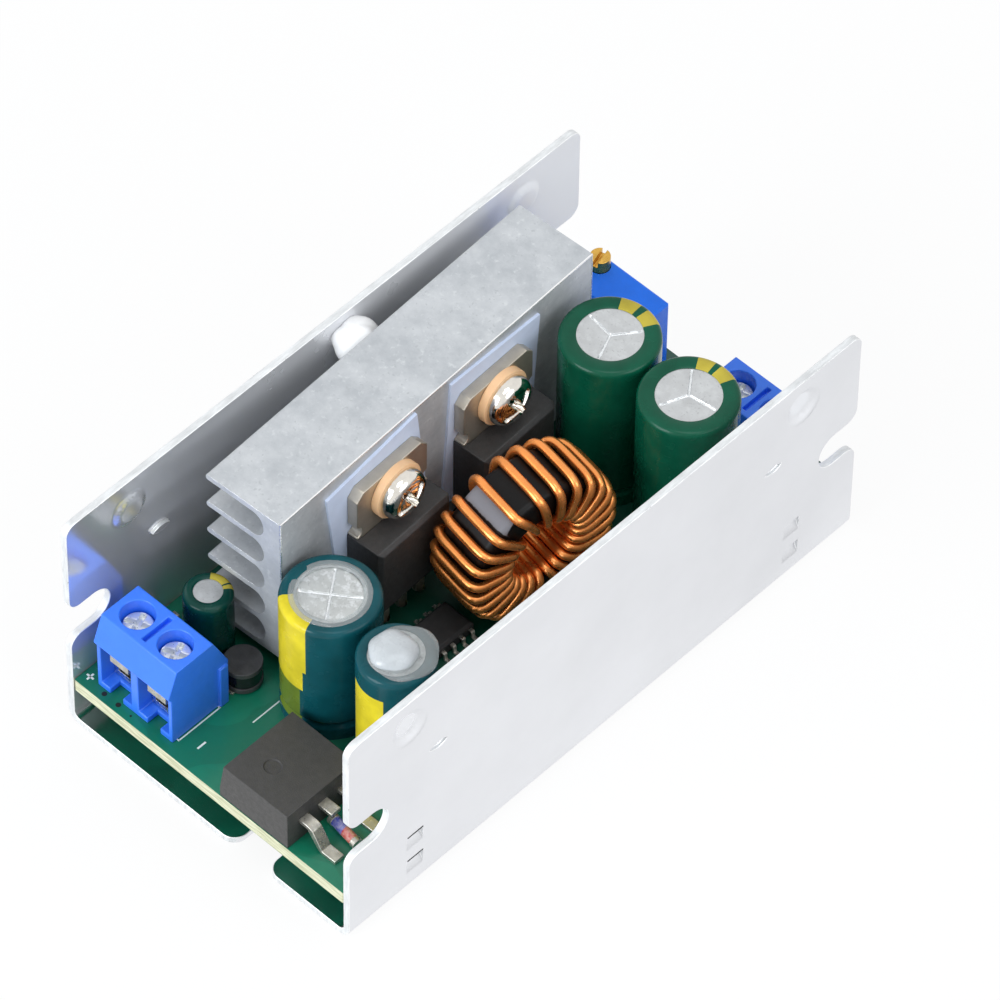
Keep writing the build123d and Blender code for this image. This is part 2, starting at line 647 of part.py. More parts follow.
def choke_path_points():
    """One continuous wire: up through the board, round the section turn by turn, and down again."""
    def on_ring(x, r, degrees):
        y = r * cos(radians(degrees))
        z = r * sin(radians(degrees))
        return (CHOKE_FRAME * Pos(x, y, z)).position

    angles = turn_angles()
    middles = [(a + b) / 2 for a, b in zip(angles, angles[1:])]
    middles.append(angles[-1] + DENSE_PITCH / 2)
    points = [on_ring(TURN_FACE_X, TURN_OUTER_R, middles[0])]
    for inner, outer, last_outer in zip(angles[1:], middles[1:], middles):
        points.append(on_ring(-TURN_FACE_X, TURN_OUTER_R, last_outer))
        points.append(on_ring(-TURN_FACE_X, TURN_INNER_R, inner))
        points.append(on_ring(TURN_FACE_X, TURN_INNER_R, inner))
        points.append(on_ring(TURN_FACE_X, TURN_OUTER_R, outer))
    first = Vector(points[0].X, points[0].Y, LEAD_TIP_Z)
    last = Vector(points[-1].X, points[-1].Y, LEAD_TIP_Z)
    return [first, *points, last]


def choke_winding():
    """The wound wire with its two leads."""
    points = choke_path_points()
    radii = [WIRE_EXIT_R] + [WIRE_CORNER_R] * (len(points) - 4) + [WIRE_EXIT_R]
    path = FilletPolyline(*points, radius=radii)
    start = Plane(origin=path @ 0, z_dir=path % 0)
    return sweep(start * Circle(WIRE_D / 2), path=path)


# Screw terminals, in a frame on the board at the screw line, with the wires entering from -Y
def terminal_housing(frame):
    """The moulded two-pole housing."""
    outline = Polyline(
        (0, BASE_FRONT, 0), (0, BASE_FRONT, BASE_FRONT_TOP), (0, VISOR_FRONT, VISOR_Z),
        (0, ROOF_FRONT, TERMINAL_HEIGHT), (0, ROOF_BACK, TERMINAL_HEIGHT),
        (0, HOUSING_BACK, HOUSING_BACK_TOP), (0, HOUSING_BACK, 0),
        close=True,
    )
    half = TERMINAL_WIDTH / 2
    housing = extrude(make_face(outline), amount=half, both=True)
    housing += block(half, half + RIB_PROUD, RIB_FRONT, RIB_BACK, 0, RIB_TOP)
    housing -= block(
        -half - 1, -half + RIB_PROUD + RIB_GAP, RIB_FRONT - RIB_GAP, RIB_BACK + RIB_GAP, -1, RIB_TOP + RIB_GAP
    )
    groove = GROOVE_WIDTH / 2
    housing -= block(
        -groove, groove, GROOVE_FRONT, GROOVE_BACK, TERMINAL_HEIGHT - GROOVE_DEPTH, TERMINAL_HEIGHT + 1
    )
    pin_half = STRIP_PIN_WIDTH / 2 + CLAMP_GAP
    for _, x in POLES:
        x0 = x - ENTRY_WIDTH / 2
        x1 = x + ENTRY_WIDTH / 2
        housing -= block(x0, x1, VISOR_FRONT - 1, POCKET_FRONT, FLOOR_THICK, ENTRY_TOP)
        housing -= block(x0, x1, POCKET_FRONT, POCKET_BACK, FLOOR_THICK, POCKET_TOP)
        notch = FLOOR_NOTCH_WIDTH / 2
        housing -= block(x - notch, x + notch, VISOR_FRONT - 1, FLOOR_NOTCH_BACK, -1, FLOOR_THICK)
        housing -= block(
            x - pin_half, x + pin_half, STRIP_BACK - STRIP_THICK - CLAMP_GAP, STRIP_BACK + CLAMP_GAP,
            -1, FLOOR_THICK,
        )
        housing -= post(x, 0, POCKET_TOP, HEAD_SEAT_Z, SEAT_HOLE_D)
        housing -= post(x, 0, HEAD_SEAT_Z, TERMINAL_HEIGHT + 1, HEAD_WELL_D)
    return frame * housing


def terminal_strip(frame, x):
    """The fixed contact: a lip behind the visor, a level plate, and the solder pin."""
    wide = STRIP_WIDTH / 2
    lip = STRIP_LIP_WIDTH / 2
    pin = STRIP_PIN_WIDTH / 2
    lip_back = STRIP_FRONT + STRIP_THICK
    leg_front = STRIP_BACK - STRIP_THICK
    strip = block(-wide, wide, STRIP_FRONT, STRIP_BACK, STRIP_Z, STRIP_TOP)
    strip += block(-wide, wide, STRIP_FRONT, lip_back, STRIP_Z, STRIP_LIP_TOP)
    lip_front = lip_back - STRIP_LIP_DEPTH
    strip += block(-lip, lip, lip_front, lip_back, STRIP_LIP_TOP - STRIP_THICK, STRIP_LIP_TOP)
    strip += block(-wide, wide, leg_front, STRIP_BACK, FLOOR_THICK + CLAMP_GAP, STRIP_Z)
    strip += block(-pin, pin, leg_front, STRIP_BACK, LEAD_TIP_Z - BOARD_TOP, FLOOR_THICK + CLAMP_GAP)
    return frame * Pos(x, 0, 0) * strip


def terminal_clamp(frame, x):
    """The rising cage round the contact plate, shown at the bottom of its travel."""
    half = CLAMP_WIDTH / 2
    deep = CLAMP_DEPTH / 2
    low = FLOOR_THICK + CLAMP_GAP
    high = STRIP_TOP + CLAMP_GAP + CLAMP_BAR
    cage = block(-half, half, -deep, deep, low, high)
    inside = half - CLAMP_WALL
    cage -= block(-inside, inside, -deep - 1, deep + 1, low + CLAMP_BAR, high - CLAMP_BAR)
    cage -= post(0, 0, STRIP_TOP, high + 1, CLAMP_SCREW_D + 2 * THREAD_GAP)
    return frame * Pos(x, 0, 0) * cage


def terminal_screw(frame, x):
    """The captive clamp screw, its tip on the contact plate."""
    screw = post(0, 0, STRIP_TOP, HEAD_SEAT_Z, CLAMP_SCREW_D)
    head_top = HEAD_SEAT_Z + HEAD_THICK
    screw += post(0, 0, HEAD_SEAT_Z, head_top, HEAD_D)
    screw -= Rot(0, 0, 20) * cross_recess(head_top, CROSS_WIDTH, CROSS_LENGTH, CROSS_DEPTH)
    return frame * Pos(x, 0, 0) * screw


# Trimmer
def trimmer_body():
    """The trimmer's case on two small feet, with the well for its screw."""
    x0 = TRIMMER_X - TRIMMER_LENGTH / 2
    x1 = TRIMMER_X + TRIMMER_LENGTH / 2
    y0 = TRIMMER_Y - TRIMMER_WIDTH / 2
    y1 = TRIMMER_Y + TRIMMER_WIDTH / 2
    case = block(x0, x1, y0, y1, TRIMMER_UNDER, TRIMMER_TOP)
    case = chamfer(case.edges().group_by(Axis.Z)[-1] + case.edges().filter_by(Axis.Z), TRIMMER_EDGE)
    for foot in (x0, x1 - TRIMMER_FOOT_LENGTH):
        front, back = y0 + TRIMMER_EDGE, y1 - TRIMMER_EDGE
        case += block(foot, foot + TRIMMER_FOOT_LENGTH, front, back, BOARD_TOP, TRIMMER_UNDER)
    well_d = TRIMMER_SCREW_D + 2 * TRIMMER_SCREW_GAP
    return case - post(
        TRIMMER_SCREW_X, TRIMMER_SCREW_Y, TRIMMER_TOP - TRIMMER_SCREW_DEEP, TRIMMER_TOP + 1, well_d
    )


def trimmer_screw():
    """The slotted adjusting screw."""
    top = TRIMMER_TOP + TRIMMER_SCREW_PROUD
    screw = post(0, 0, TRIMMER_TOP - TRIMMER_SCREW_DEEP, top, TRIMMER_SCREW_D)
    slot = Box(2 * TRIMMER_SCREW_D, TRIMMER_SLOT_WIDTH, 2 * TRIMMER_SLOT_DEPTH)
    screw -= Pos(0, 0, top) * Rot(0, 0, -75) * slot
    return Pos(TRIMMER_SCREW_X, TRIMMER_SCREW_Y, 0) * screw


def trimmer_pins():
    """The three pins under the trimmer."""
    return [post(p.X, p.Y, LEAD_TIP_Z, TRIMMER_UNDER, TRIMMER_PIN_D) for p in trimmer_pin_places()]


# Capacitors
def can_blank(radius, height):
    """A drawn can turned about Z: rounded top edge, crimp groove low on the wall."""
    outline = Polyline(
        (0, 0), (radius, 0), (radius, CRIMP_Z - CRIMP_HALF), (radius - CRIMP_DEPTH, CRIMP_Z),
        (radius, CRIMP_Z + CRIMP_HALF), (radius, height), (0, height),
        close=True,
    )
    section = make_face(outline)
    corner = section.vertices().sort_by(Axis.X).group_by(Axis.X)[-1].sort_by(Axis.Y)[-1]
    section = fillet(corner, CAN_EDGE_R)
    return revolve(Plane.XZ * section, Axis.Z)


def capacitor_can(capacitor):
    """The aluminium can with its scored vent."""
    _, x, y, diameter, height, _, arms = capacitor
    radius = diameter / 2 - SLEEVE_THICK
    top = height - SLEEVE_THICK
    can = can_blank(radius, top)
    reach = VENT_SHARE * radius
    for i in range(arms):
        arm = block(0, reach, -VENT_WIDTH / 2, VENT_WIDTH / 2, top - VENT_DEPTH, top + 1)
        can -= Rot(0, 0, 30 + i * 360 / arms) * arm
    return Pos(x, y, BOARD_TOP) * can


def capacitor_sleeve(capacitor):
    """The shrink sleeve, rolled over the can's top edge."""
    _, x, y, diameter, height, _, _ = capacitor
    radius = diameter / 2
    sleeve = can_blank(radius, height) - can_blank(radius - SLEEVE_THICK, height - SLEEVE_THICK)
    window = radius * (1 - SLEEVE_LIP_SHARE)
    sleeve -= post(0, 0, height - 2 * SLEEVE_THICK, height + 1, 2 * window)
    return Pos(x, y, BOARD_TOP) * sleeve


def capacitor_leads(capacitor):
    """The two leads from the can down through the board."""
    return [
        post(p.X, p.Y, LEAD_TIP_Z, BOARD_TOP, CAPACITOR_LEAD_D) for p in capacitor_lead_places(capacitor)
    ]


# Flat power package
def power_package_leads():
    """The soldered tab with the cut middle lead, and the two formed leads."""
    x_tab = POWER_X - POWER_LENGTH / 2
    x_lead = POWER_X + POWER_LENGTH / 2
    half = POWER_TAB_WIDTH / 2
    tab = block(
        x_tab - POWER_TAB_REACH, x_tab + POWER_TAB_IN_BODY, POWER_Y - half, POWER_Y + half,
        BOARD_TOP, BOARD_TOP + POWER_TAB_THICK,
    )
    level = BOARD_TOP + POWER_LEAD_Z
    foot = BOARD_TOP + POWER_LEAD_THICK / 2
    stub_half = POWER_LEAD_WIDTH / 2
    stub = block(
        x_lead - POWER_LEAD_IN_BODY, x_lead + POWER_STUB, POWER_Y - stub_half, POWER_Y + stub_half,
        level - POWER_LEAD_THICK / 2, level + POWER_LEAD_THICK / 2,
    )
    leads = []
    for side in (-1, 1):
        y = POWER_Y + side * LEG_PITCH
        points = [
            (x_lead - POWER_LEAD_IN_BODY, y, level), (x_lead + POWER_LEAD_STEPS[0], y, level),
            (x_lead + POWER_LEAD_STEPS[1], y, foot), (x_lead + POWER_LEAD_STEPS[2], y, foot),
        ]
        leads.append(bent_strip(points, POWER_LEAD_WIDTH, POWER_LEAD_THICK, POWER_LEAD_BEND_R))
    return [tab, stub, *leads]


def power_package_body():
    """The moulded body with drafted sides and an ejector mark."""
    base = Rectangle(POWER_LENGTH, POWER_WIDTH)
    body = extrude(base, amount=POWER_STRAIGHT)
    body += Pos(0, 0, POWER_STRAIGHT) * extrude(base, amount=POWER_THICK - POWER_STRAIGHT, taper=POWER_TAPER)
    body -= post(*EJECTOR_FROM_CENTRE, POWER_THICK - EJECTOR_DEPTH, POWER_THICK + 1, EJECTOR_D)
    return Pos(POWER_X, POWER_Y, BOARD_TOP) * body - power_package_leads()


# Drum inductor
def drum_core():
    """The ferrite bobbin."""
    rim = DRUM_D / 2
    waist = DRUM_WAIST_D / 2
    top = DRUM_HEIGHT
    low = DRUM_FLANGE
    high = top - DRUM_FLANGE
    outline = Polyline(
        (0, 0), (rim, 0), (rim, low), (waist, low), (waist, high), (rim, high), (rim, top), (0, top),
        close=True,
    )
    bobbin = revolve(Plane.XZ * make_face(outline), Axis.Z)
    return Pos(DRUM_X, DRUM_Y, BOARD_TOP + DRUM_FOOT_THICK) * bobbin


def drum_coil():
    """The coil between the bobbin's flanges."""
    z0 = BOARD_TOP + DRUM_FOOT_THICK + DRUM_FLANGE + DRUM_COIL_GAP
    z1 = BOARD_TOP + DRUM_FOOT_THICK + DRUM_HEIGHT - DRUM_FLANGE - DRUM_COIL_GAP
    coil = post(DRUM_X, DRUM_Y, z0, z1, DRUM_D - 2 * DRUM_COIL_INSET)
    return coil - post(DRUM_X, DRUM_Y, z0 - 1, z1 + 1, DRUM_WAIST_D + 2 * DRUM_COIL_GAP)


def drum_terminals():
    """The two soldered feet under the bobbin."""
    half = DRUM_FOOT_WIDTH / 2
    feet = []
    for side in (-1, 1):
        tip = DRUM_Y + side * (DRUM_D / 2 + DRUM_FOOT_PAST)
        root = tip - side * DRUM_FOOT_LENGTH
        feet.append(
            block(
                DRUM_X - half, DRUM_X + half, min(tip, root), max(tip, root),
                BOARD_TOP, BOARD_TOP + DRUM_FOOT_THICK,
            )
        )
    return feet


# Controller chip
def controller_leads():
    """Four gull-wing leads on each side of the chip."""
    leads = []
    level = BOARD_TOP + CHIP_STANDOFF + CHIP_LEAD_Z
    foot = BOARD_TOP + CHIP_LEAD_THICK / 2
    for side in (-1, 1):
        edge = CHIP_X + side * CHIP_WIDTH / 2
        for i in range(CHIP_LEAD_COUNT):
            y = CHIP_Y + (i - (CHIP_LEAD_COUNT - 1) / 2) * CHIP_LEAD_PITCH
            points = [
                (edge - side * CHIP_LEAD_STEP, y, level), (edge + side * CHIP_LEAD_STEP, y, level),
                (edge + side * CHIP_LEAD_STEP, y, foot), (edge + side * CHIP_LEAD_REACH, y, foot),
            ]
            leads.append(bent_strip(points, CHIP_LEAD_WIDTH, CHIP_LEAD_THICK, CHIP_LEAD_THICK * 0.75))
    return leads


def controller_body():
    """The chip's moulded body."""
    z0 = BOARD_TOP + CHIP_STANDOFF
    body = block(
        CHIP_X - CHIP_WIDTH / 2, CHIP_X + CHIP_WIDTH / 2, CHIP_Y - CHIP_LENGTH / 2, CHIP_Y + CHIP_LENGTH / 2,
        z0, z0 + CHIP_THICK,
    )
    body = chamfer(body.edges().group_by(Axis.Z)[-1], CHIP_EDGE)
    return body - controller_leads()


# Glass diode
DIODE_FRAME = Pos(DIODE_X, DIODE_Y, BOARD_TOP + DIODE_CAP_D / 2) * Rot(0, 0, DIODE_YAW)


def diode_glass():
    """The glass tube."""
    half = DIODE_GLASS_LENGTH / 2
    return DIODE_FRAME * cross_rod(-half, half, 0, 0, DIODE_GLASS_D)


def diode_ends():
    """The two metal end caps."""
    half = DIODE_GLASS_LENGTH / 2
    cap = cross_rod(half, half + DIODE_CAP_LENGTH, 0, 0, DIODE_CAP_D)
    return [DIODE_FRAME * cap, DIODE_FRAME * Rot(0, 0, 180) * cap]


# Chip resistors and chip capacitors
def chip_part_bodies():
    """The ceramic bodies between the metal ends."""
    return [
        Pos(x, y, BOARD_TOP + high / 2) * Rot(0, 0, turn) * Box(long - 2 * CHIP_END, wide, high)
        for x, y, long, wide, high, turn in CHIP_PARTS
    ]


def chip_part_ends():
    """The metal ends, soldered to the board."""
    ends = []
    for x, y, long, wide, high, turn in CHIP_PARTS:
        for side in (-1, 1):
            offset = side * (long - CHIP_END) / 2
            end = Pos(offset, 0, 0) * Box(CHIP_END, wide, high)
            ends.append(Pos(x, y, BOARD_TOP + high / 2) * Rot(0, 0, turn) * end)
    return ends


# Glue and sealant
def capacitor_glue():
    """A dab on one input capacitor and a bead round the top of the other."""
    _, ring_x, ring_y, ring_d, ring_h, _, _ = CAPACITORS[2]
    _, dab_x, dab_y, dab_d, dab_h, _, _ = CAPACITORS[3]
    dab_r = GLUE_DAB_SHARE * dab_d / 2
    ball_r = (dab_r ** 2 + GLUE_DAB_HEIGHT ** 2) / (2 * GLUE_DAB_HEIGHT)
    ball = Pos(0, 0, GLUE_DAB_HEIGHT - ball_r) * Sphere(ball_r)
    dab = ball & block(-dab_r, dab_r, -dab_r, dab_r, 0, 2 * GLUE_DAB_HEIGHT)
    middle = ring_d / 2 - GLUE_BEAD_INSET
    arc = ThreePointArc((middle - GLUE_BEAD_R, 0), (middle, GLUE_BEAD_R), (middle + GLUE_BEAD_R, 0))
    chord = Line((middle + GLUE_BEAD_R, 0), (middle - GLUE_BEAD_R, 0))
    bead = revolve(Plane.XZ * make_face(arc + chord), Axis.Z)
    return [
        Pos(dab_x, dab_y, BOARD_TOP + dab_h) * dab,
        Pos(ring_x, ring_y, BOARD_TOP + ring_h) * bead,
    ]


def wall_sealant(sink):
    """The sealant between the fin tips and the tray wall."""
    fins_x = HEATSINK_X - HEATSINK_DEPTH * cos(radians(HEATSINK_YAW))
    z = HEATSINK_TOP - SEALANT_BELOW_TOP
    plug = cross_rod(-WALL_INSIDE, fins_x + SEALANT_INTO_FINS, SEALANT_Y, z, SEALANT_D)
    return plug - sink


def build_nodes():
    """Every named piece of the module, as one shape or a list of separate solids."""
    sink = heatsink()
    nodes = {
        "tray": tray(),
        "circuit_board": circuit_board(),
        "solder_joints": solder_joints(),
        "heatsink": sink,
        "heatsink_screws": [heatsink_screw(y) for _, y, _, _ in TRANSISTORS],
        "choke_core": choke_core(),
        "choke_winding": choke_winding(),
        "trimmer_body": trimmer_body(),
        "trimmer_screw": trimmer_screw(),
        "trimmer_pins": trimmer_pins(),
        "power_package_body": power_package_body(),
        "power_package_leads": power_package_leads(),
        "drum_inductor_core": drum_core(),
        "drum_inductor_coil": drum_coil(),
        "drum_inductor_feet": drum_terminals(),
        "controller_body": controller_body(),
        "controller_leads": controller_leads(),
        "diode_glass": diode_glass(),
        "diode_ends": diode_ends(),
        "chip_part_bodies": chip_part_bodies(),
        "chip_part_ends": chip_part_ends(),
        "capacitor_glue": capacitor_glue(),
        "wall_sealant": wall_sealant(sink),
    }
    for name, y, skew, shift in TRANSISTORS:
        nodes[f"insulating_pad_{name}"] = insulating_pad(y, skew, shift)
        nodes[f"transistor_body_{name}"] = transistor_body(y)
        nodes[f"transistor_leads_{name}"] = [HEATSINK_FRAME * lead for lead in transistor_leads(y)]
        nodes[f"bushing_{name}"] = bushing(y)
    for name, frame in TERMINALS:
        nodes[f"{name}_terminal_housing"] = terminal_housing(frame)
        nodes[f"{name}_terminal_contacts"] = [terminal_strip(frame, x) for _, x in POLES]
        for pole, x in POLES:
            nodes[f"{name}_terminal_screw_{pole}"] = terminal_screw(frame, x)
            nodes[f"{name}_terminal_clamp_{pole}"] = terminal_clamp(frame, x)
    for capacitor in CAPACITORS:
        nodes[f"{capacitor[0]}_can"] = capacitor_can(capacitor)
        nodes[f"{capacitor[0]}_sleeve"] = capacitor_sleeve(capacitor)
        nodes[f"{capacitor[0]}_leads"] = capacitor_leads(capacitor)
    return nodes


def main():
    """Writes one STEP file for each named piece."""
    os.makedirs("parts", exist_ok=True)
    to_centre = Pos(0, -TRAY_LENGTH / 2, 0)
    for name, shape in build_nodes().items():
        solids = shape if isinstance(shape, list) else [shape]
        solids = [to_centre * solid for piece in solids for solid in piece.solids()]
        whole = solids[0] if len(solids) == 1 else Compound(children=solids)
        export_step(whole, f"parts/{name}.step")


main()
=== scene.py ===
"""Looks of the step-down converter module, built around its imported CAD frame."""

import json
import math

import bmesh
import bpy
import numpy as np
from mathutils import Matrix, Vector


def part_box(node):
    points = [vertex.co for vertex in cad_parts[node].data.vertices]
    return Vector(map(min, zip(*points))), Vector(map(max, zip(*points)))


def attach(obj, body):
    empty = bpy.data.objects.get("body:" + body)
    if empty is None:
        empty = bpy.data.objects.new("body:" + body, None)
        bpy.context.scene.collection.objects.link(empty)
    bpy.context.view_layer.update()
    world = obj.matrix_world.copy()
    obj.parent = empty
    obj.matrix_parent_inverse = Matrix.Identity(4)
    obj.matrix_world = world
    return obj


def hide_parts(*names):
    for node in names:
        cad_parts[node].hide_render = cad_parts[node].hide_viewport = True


bl_info = {
    "name": "Step-Down Converter Module",
    "version": (1, 0, 0),
    "blender": (4, 5, 0),
    "location": "View3D > Sidebar > Converter",
    "description": "Dresses the packed converter module with finished surfaces, a wound choke and a studio",
    "category": "Object",
}

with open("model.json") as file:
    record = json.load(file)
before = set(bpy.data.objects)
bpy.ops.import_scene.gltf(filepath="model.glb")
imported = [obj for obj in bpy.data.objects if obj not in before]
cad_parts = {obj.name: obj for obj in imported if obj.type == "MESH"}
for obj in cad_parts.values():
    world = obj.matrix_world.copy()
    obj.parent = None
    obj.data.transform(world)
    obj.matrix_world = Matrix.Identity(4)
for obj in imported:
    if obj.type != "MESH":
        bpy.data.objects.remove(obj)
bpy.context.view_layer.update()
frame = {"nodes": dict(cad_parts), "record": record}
NODES = frame["nodes"]
BODIES = frame["record"]["behaviour"]["bodies"]
BODY_OF = {node: body for body, members in BODIES.items() for node in members}

MM = 0.001
BOARD_UNDER = 5.0 * MM
BOARD_TOP = 6.6 * MM
WALL_INSIDE = 18.2 * MM


# Colours and materials

def linear(red, green, blue):
    """A screen colour from 0 to 255 as linear light: (c / 255 + 0.055) / 1.055, to the power 2.4."""
    light = []
    for value in (red, green, blue):
        share = value / 255
        light.append(share / 12.92 if share <= 0.04045 else ((share + 0.055) / 1.055) ** 2.4)
    return (*light, 1.0)


def darker(colour, share):
    """The colour times a share, with the same alpha."""
    return (*(min(1.0, c * share) for c in colour[:3]), 1.0)


class Finish:
    """A procedural material: nodes are added by its methods, and constants go straight to the shader."""

    def __init__(self, name, **sockets):
        self.material = bpy.data.materials.new(name)
        self.material.use_nodes = True
        self.tree = self.material.node_tree
        self.shader = self.tree.nodes["Principled BSDF"]
        for socket, value in sockets.items():
            self.shader.inputs[socket.replace("_", " ")].default_value = value
        coordinates = self.tree.nodes.new("ShaderNodeTexCoord")
        self.place = coordinates.outputs["Object"]

    def link(self, source, target):
        self.tree.links.new(source, target)

    def mapped(self, location=(0, 0, 0), scale=(1, 1, 1)):
        """Object coordinates moved and stretched for a pattern."""
        mapping = self.tree.nodes.new("ShaderNodeMapping")
        mapping.inputs["Location"].default_value = location
        mapping.inputs["Scale"].default_value = scale
        self.link(self.place, mapping.inputs["Vector"])
        return mapping.outputs["Vector"]

    def noise(self, scale, detail=3.0, rough=0.55, vector=None):
        """Cloudy noise, in clouds per metre."""
        node = self.tree.nodes.new("ShaderNodeTexNoise")
        node.inputs["Scale"].default_value = scale
        node.inputs["Detail"].default_value = detail
        node.inputs["Roughness"].default_value = rough
        self.link(vector or self.place, node.inputs["Vector"])
        return node.outputs["Fac"]

    def ramp(self, value, stops):
        """Colours along a value: stops are (position, colour)."""
        node = self.tree.nodes.new("ShaderNodeValToRGB")
        elements = node.color_ramp.elements
        elements[0].position, elements[0].color = stops[0]
        elements[1].position, elements[1].color = stops[-1]
        for position, colour in stops[1:-1]:
            elements.new(position).color = colour
        self.link(value, node.inputs["Fac"])
        return node.outputs["Color"]

    def span(self, value, low, high, start=0.3, end=0.7):
        """A value from start to end brought to low to high, and held outside."""
        node = self.tree.nodes.new("ShaderNodeMapRange")
        for socket, number in (("From Min", start), ("From Max", end), ("To Min", low), ("To Max", high)):
            node.inputs[socket].default_value = number
        self.link(value, node.inputs["Value"])
        return node.outputs["Result"]

    def combine(self, operation, first, second):
        """Two values, or a value and a number, joined by a math step."""
        node = self.tree.nodes.new("ShaderNodeMath")
        node.operation = operation
        for socket, value in zip(node.inputs, (first, second)):
            if isinstance(value, (int, float)):
                socket.default_value = value
            else:
                self.link(value, socket)
        return node.outputs["Value"]

    def axis(self, letter):
        """One of the Object coordinates."""
        node = self.tree.nodes.new("ShaderNodeSeparateXYZ")
        self.link(self.place, node.inputs["Vector"])
        return node.outputs[letter]

    def mix(self, share, first, second):
        """The first colour where the share is 0 and the second where it is 1."""
        node = self.tree.nodes.new("ShaderNodeMix")
        node.data_type = "RGBA"
        self.link(share, node.inputs[0])
        for socket, colour in ((node.inputs[6], first), (node.inputs[7], second)):
            if isinstance(colour, tuple):
                socket.default_value = colour
            else:
                self.link(colour, socket)
        return node.outputs[2]

    def colour(self, output):
        self.link(output, self.shader.inputs["Base Color"])

    def rough(self, output):
        self.link(output, self.shader.inputs["Roughness"])

    def bump(self, height, strength, depth=0.05 * MM):
        """Small relief in the surface, strength 0 to 1 of depth."""
        node = self.tree.nodes.new("ShaderNodeBump")
        node.inputs["Strength"].default_value = strength
        node.inputs["Distance"].default_value = depth
        self.link(height, node.inputs["Height"])
        self.link(node.outputs["Normal"], self.shader.inputs["Normal"])


def plain_finish(
    name, colour, spread=0.12, grain=700.0, rough=(0.35, 0.5), bump=0.25, bump_grain=4000.0, **sockets
):
    """One colour that varies by a share in soft clouds, with uneven gloss and a fine relief."""
    finish = Finish(name, **sockets)
    clouds = finish.noise(grain)
    finish.colour(finish.ramp(clouds, ((0.3, darker(colour, 1 - spread)), (0.7, darker(colour, 1 + spread)))))
    finish.rough(finish.span(finish.noise(grain * 1.7, 2.0), *rough))
    finish.bump(finish.noise(bump_grain, 2.0), bump)
    return finish.material


def tray_finish(colours):
    """Satin sheet: a soft mirror on the faces that look inwards, clearest at the input end, and dull
    outside."""
    finish = Finish("tray sheet")
    clouds = finish.noise(90.0, 4.0)
    tint = linear(*colours)
    finish.colour(finish.ramp(clouds, ((0.3, darker(tint, 0.97)), (0.7, darker(tint, 1.02)))))
    across = finish.combine("ABSOLUTE", finish.axis("X"), 0.0)
    outside = finish.span(across, 0.0, 1.0, WALL_INSIDE + 0.1 * MM, WALL_INSIDE + 0.4 * MM)
    floor = finish.span(finish.axis("Z"), 1.0, 0.0, 0.9 * MM, 1.6 * MM)
    dull = finish.combine("MAXIMUM", outside, floor)
    away = finish.span(finish.axis("Y"), 0.0, 1.0, -22.0 * MM, 6.0 * MM)
    inside = finish.span(away, 0.68, 0.15, 0.0, 1.0)
    finish.link(finish.combine("MAXIMUM", dull, inside), finish.shader.inputs["Metallic"])
    rough_inside = finish.span(away, 0.15, 0.3, 0.0, 1.0)
    rough_outside = finish.span(outside, 0.0, 0.5, 0.0, 1.0)
    base = finish.combine("MAXIMUM", rough_inside, rough_outside)
    finish.rough(finish.combine("ADD", base, finish.span(finish.noise(160.0, 3.0), -0.03, 0.05)))
    finish.bump(finish.noise(2500.0, 2.0), 0.1, 0.02 * MM)
    return finish.material


def cut_finish(name, colour, rough, metal):
    """The sheet's sheared edge: fine lines across the thickness, darker and brighter in turn."""
    finish = Finish(name, Metallic=metal)
    streaks = finish.noise(700.0, 4.0, 0.7, finish.mapped(scale=(3.0, 0.6, 0.6)))
    finish.colour(finish.ramp(streaks, ((0.3, darker(colour, 0.82)), (0.7, darker(colour, 1.12)))))
    finish.rough(finish.span(streaks, rough, rough + 0.2))
    finish.bump(streaks, 0.3, 0.03 * MM)
    return finish.material


def heatsink_finish():
    """Satin extrusion: cloudy oxide, fine light and dark specks and uneven gloss."""
    finish = Finish("heatsink metal", Metallic=0.3)
    clouds = finish.noise(330.0, 6.0, 0.7)
    base = finish.ramp(clouds, ((0.34, linear(180, 184, 188)), (0.66, linear(203, 206, 209))))
    dark = finish.span(finish.noise(2300.0, 2.0), 0.0, 0.7, 0.64, 0.72)
    pale = finish.span(finish.noise(1300.0, 4.0, 0.65, finish.mapped((0.3, 0.1, 0.2))), 0.0, 0.5, 0.58, 0.72)
    base = finish.mix(dark, base, linear(176, 180, 183))
    finish.colour(finish.mix(pale, base, linear(226, 229, 230)))
    finish.rough(finish.span(finish.noise(420.0, 4.0, 0.6), 0.3, 0.48))
    finish.bump(finish.noise(1600.0, 4.0, 0.6), 0.3, 0.03 * MM)
    return finish.material


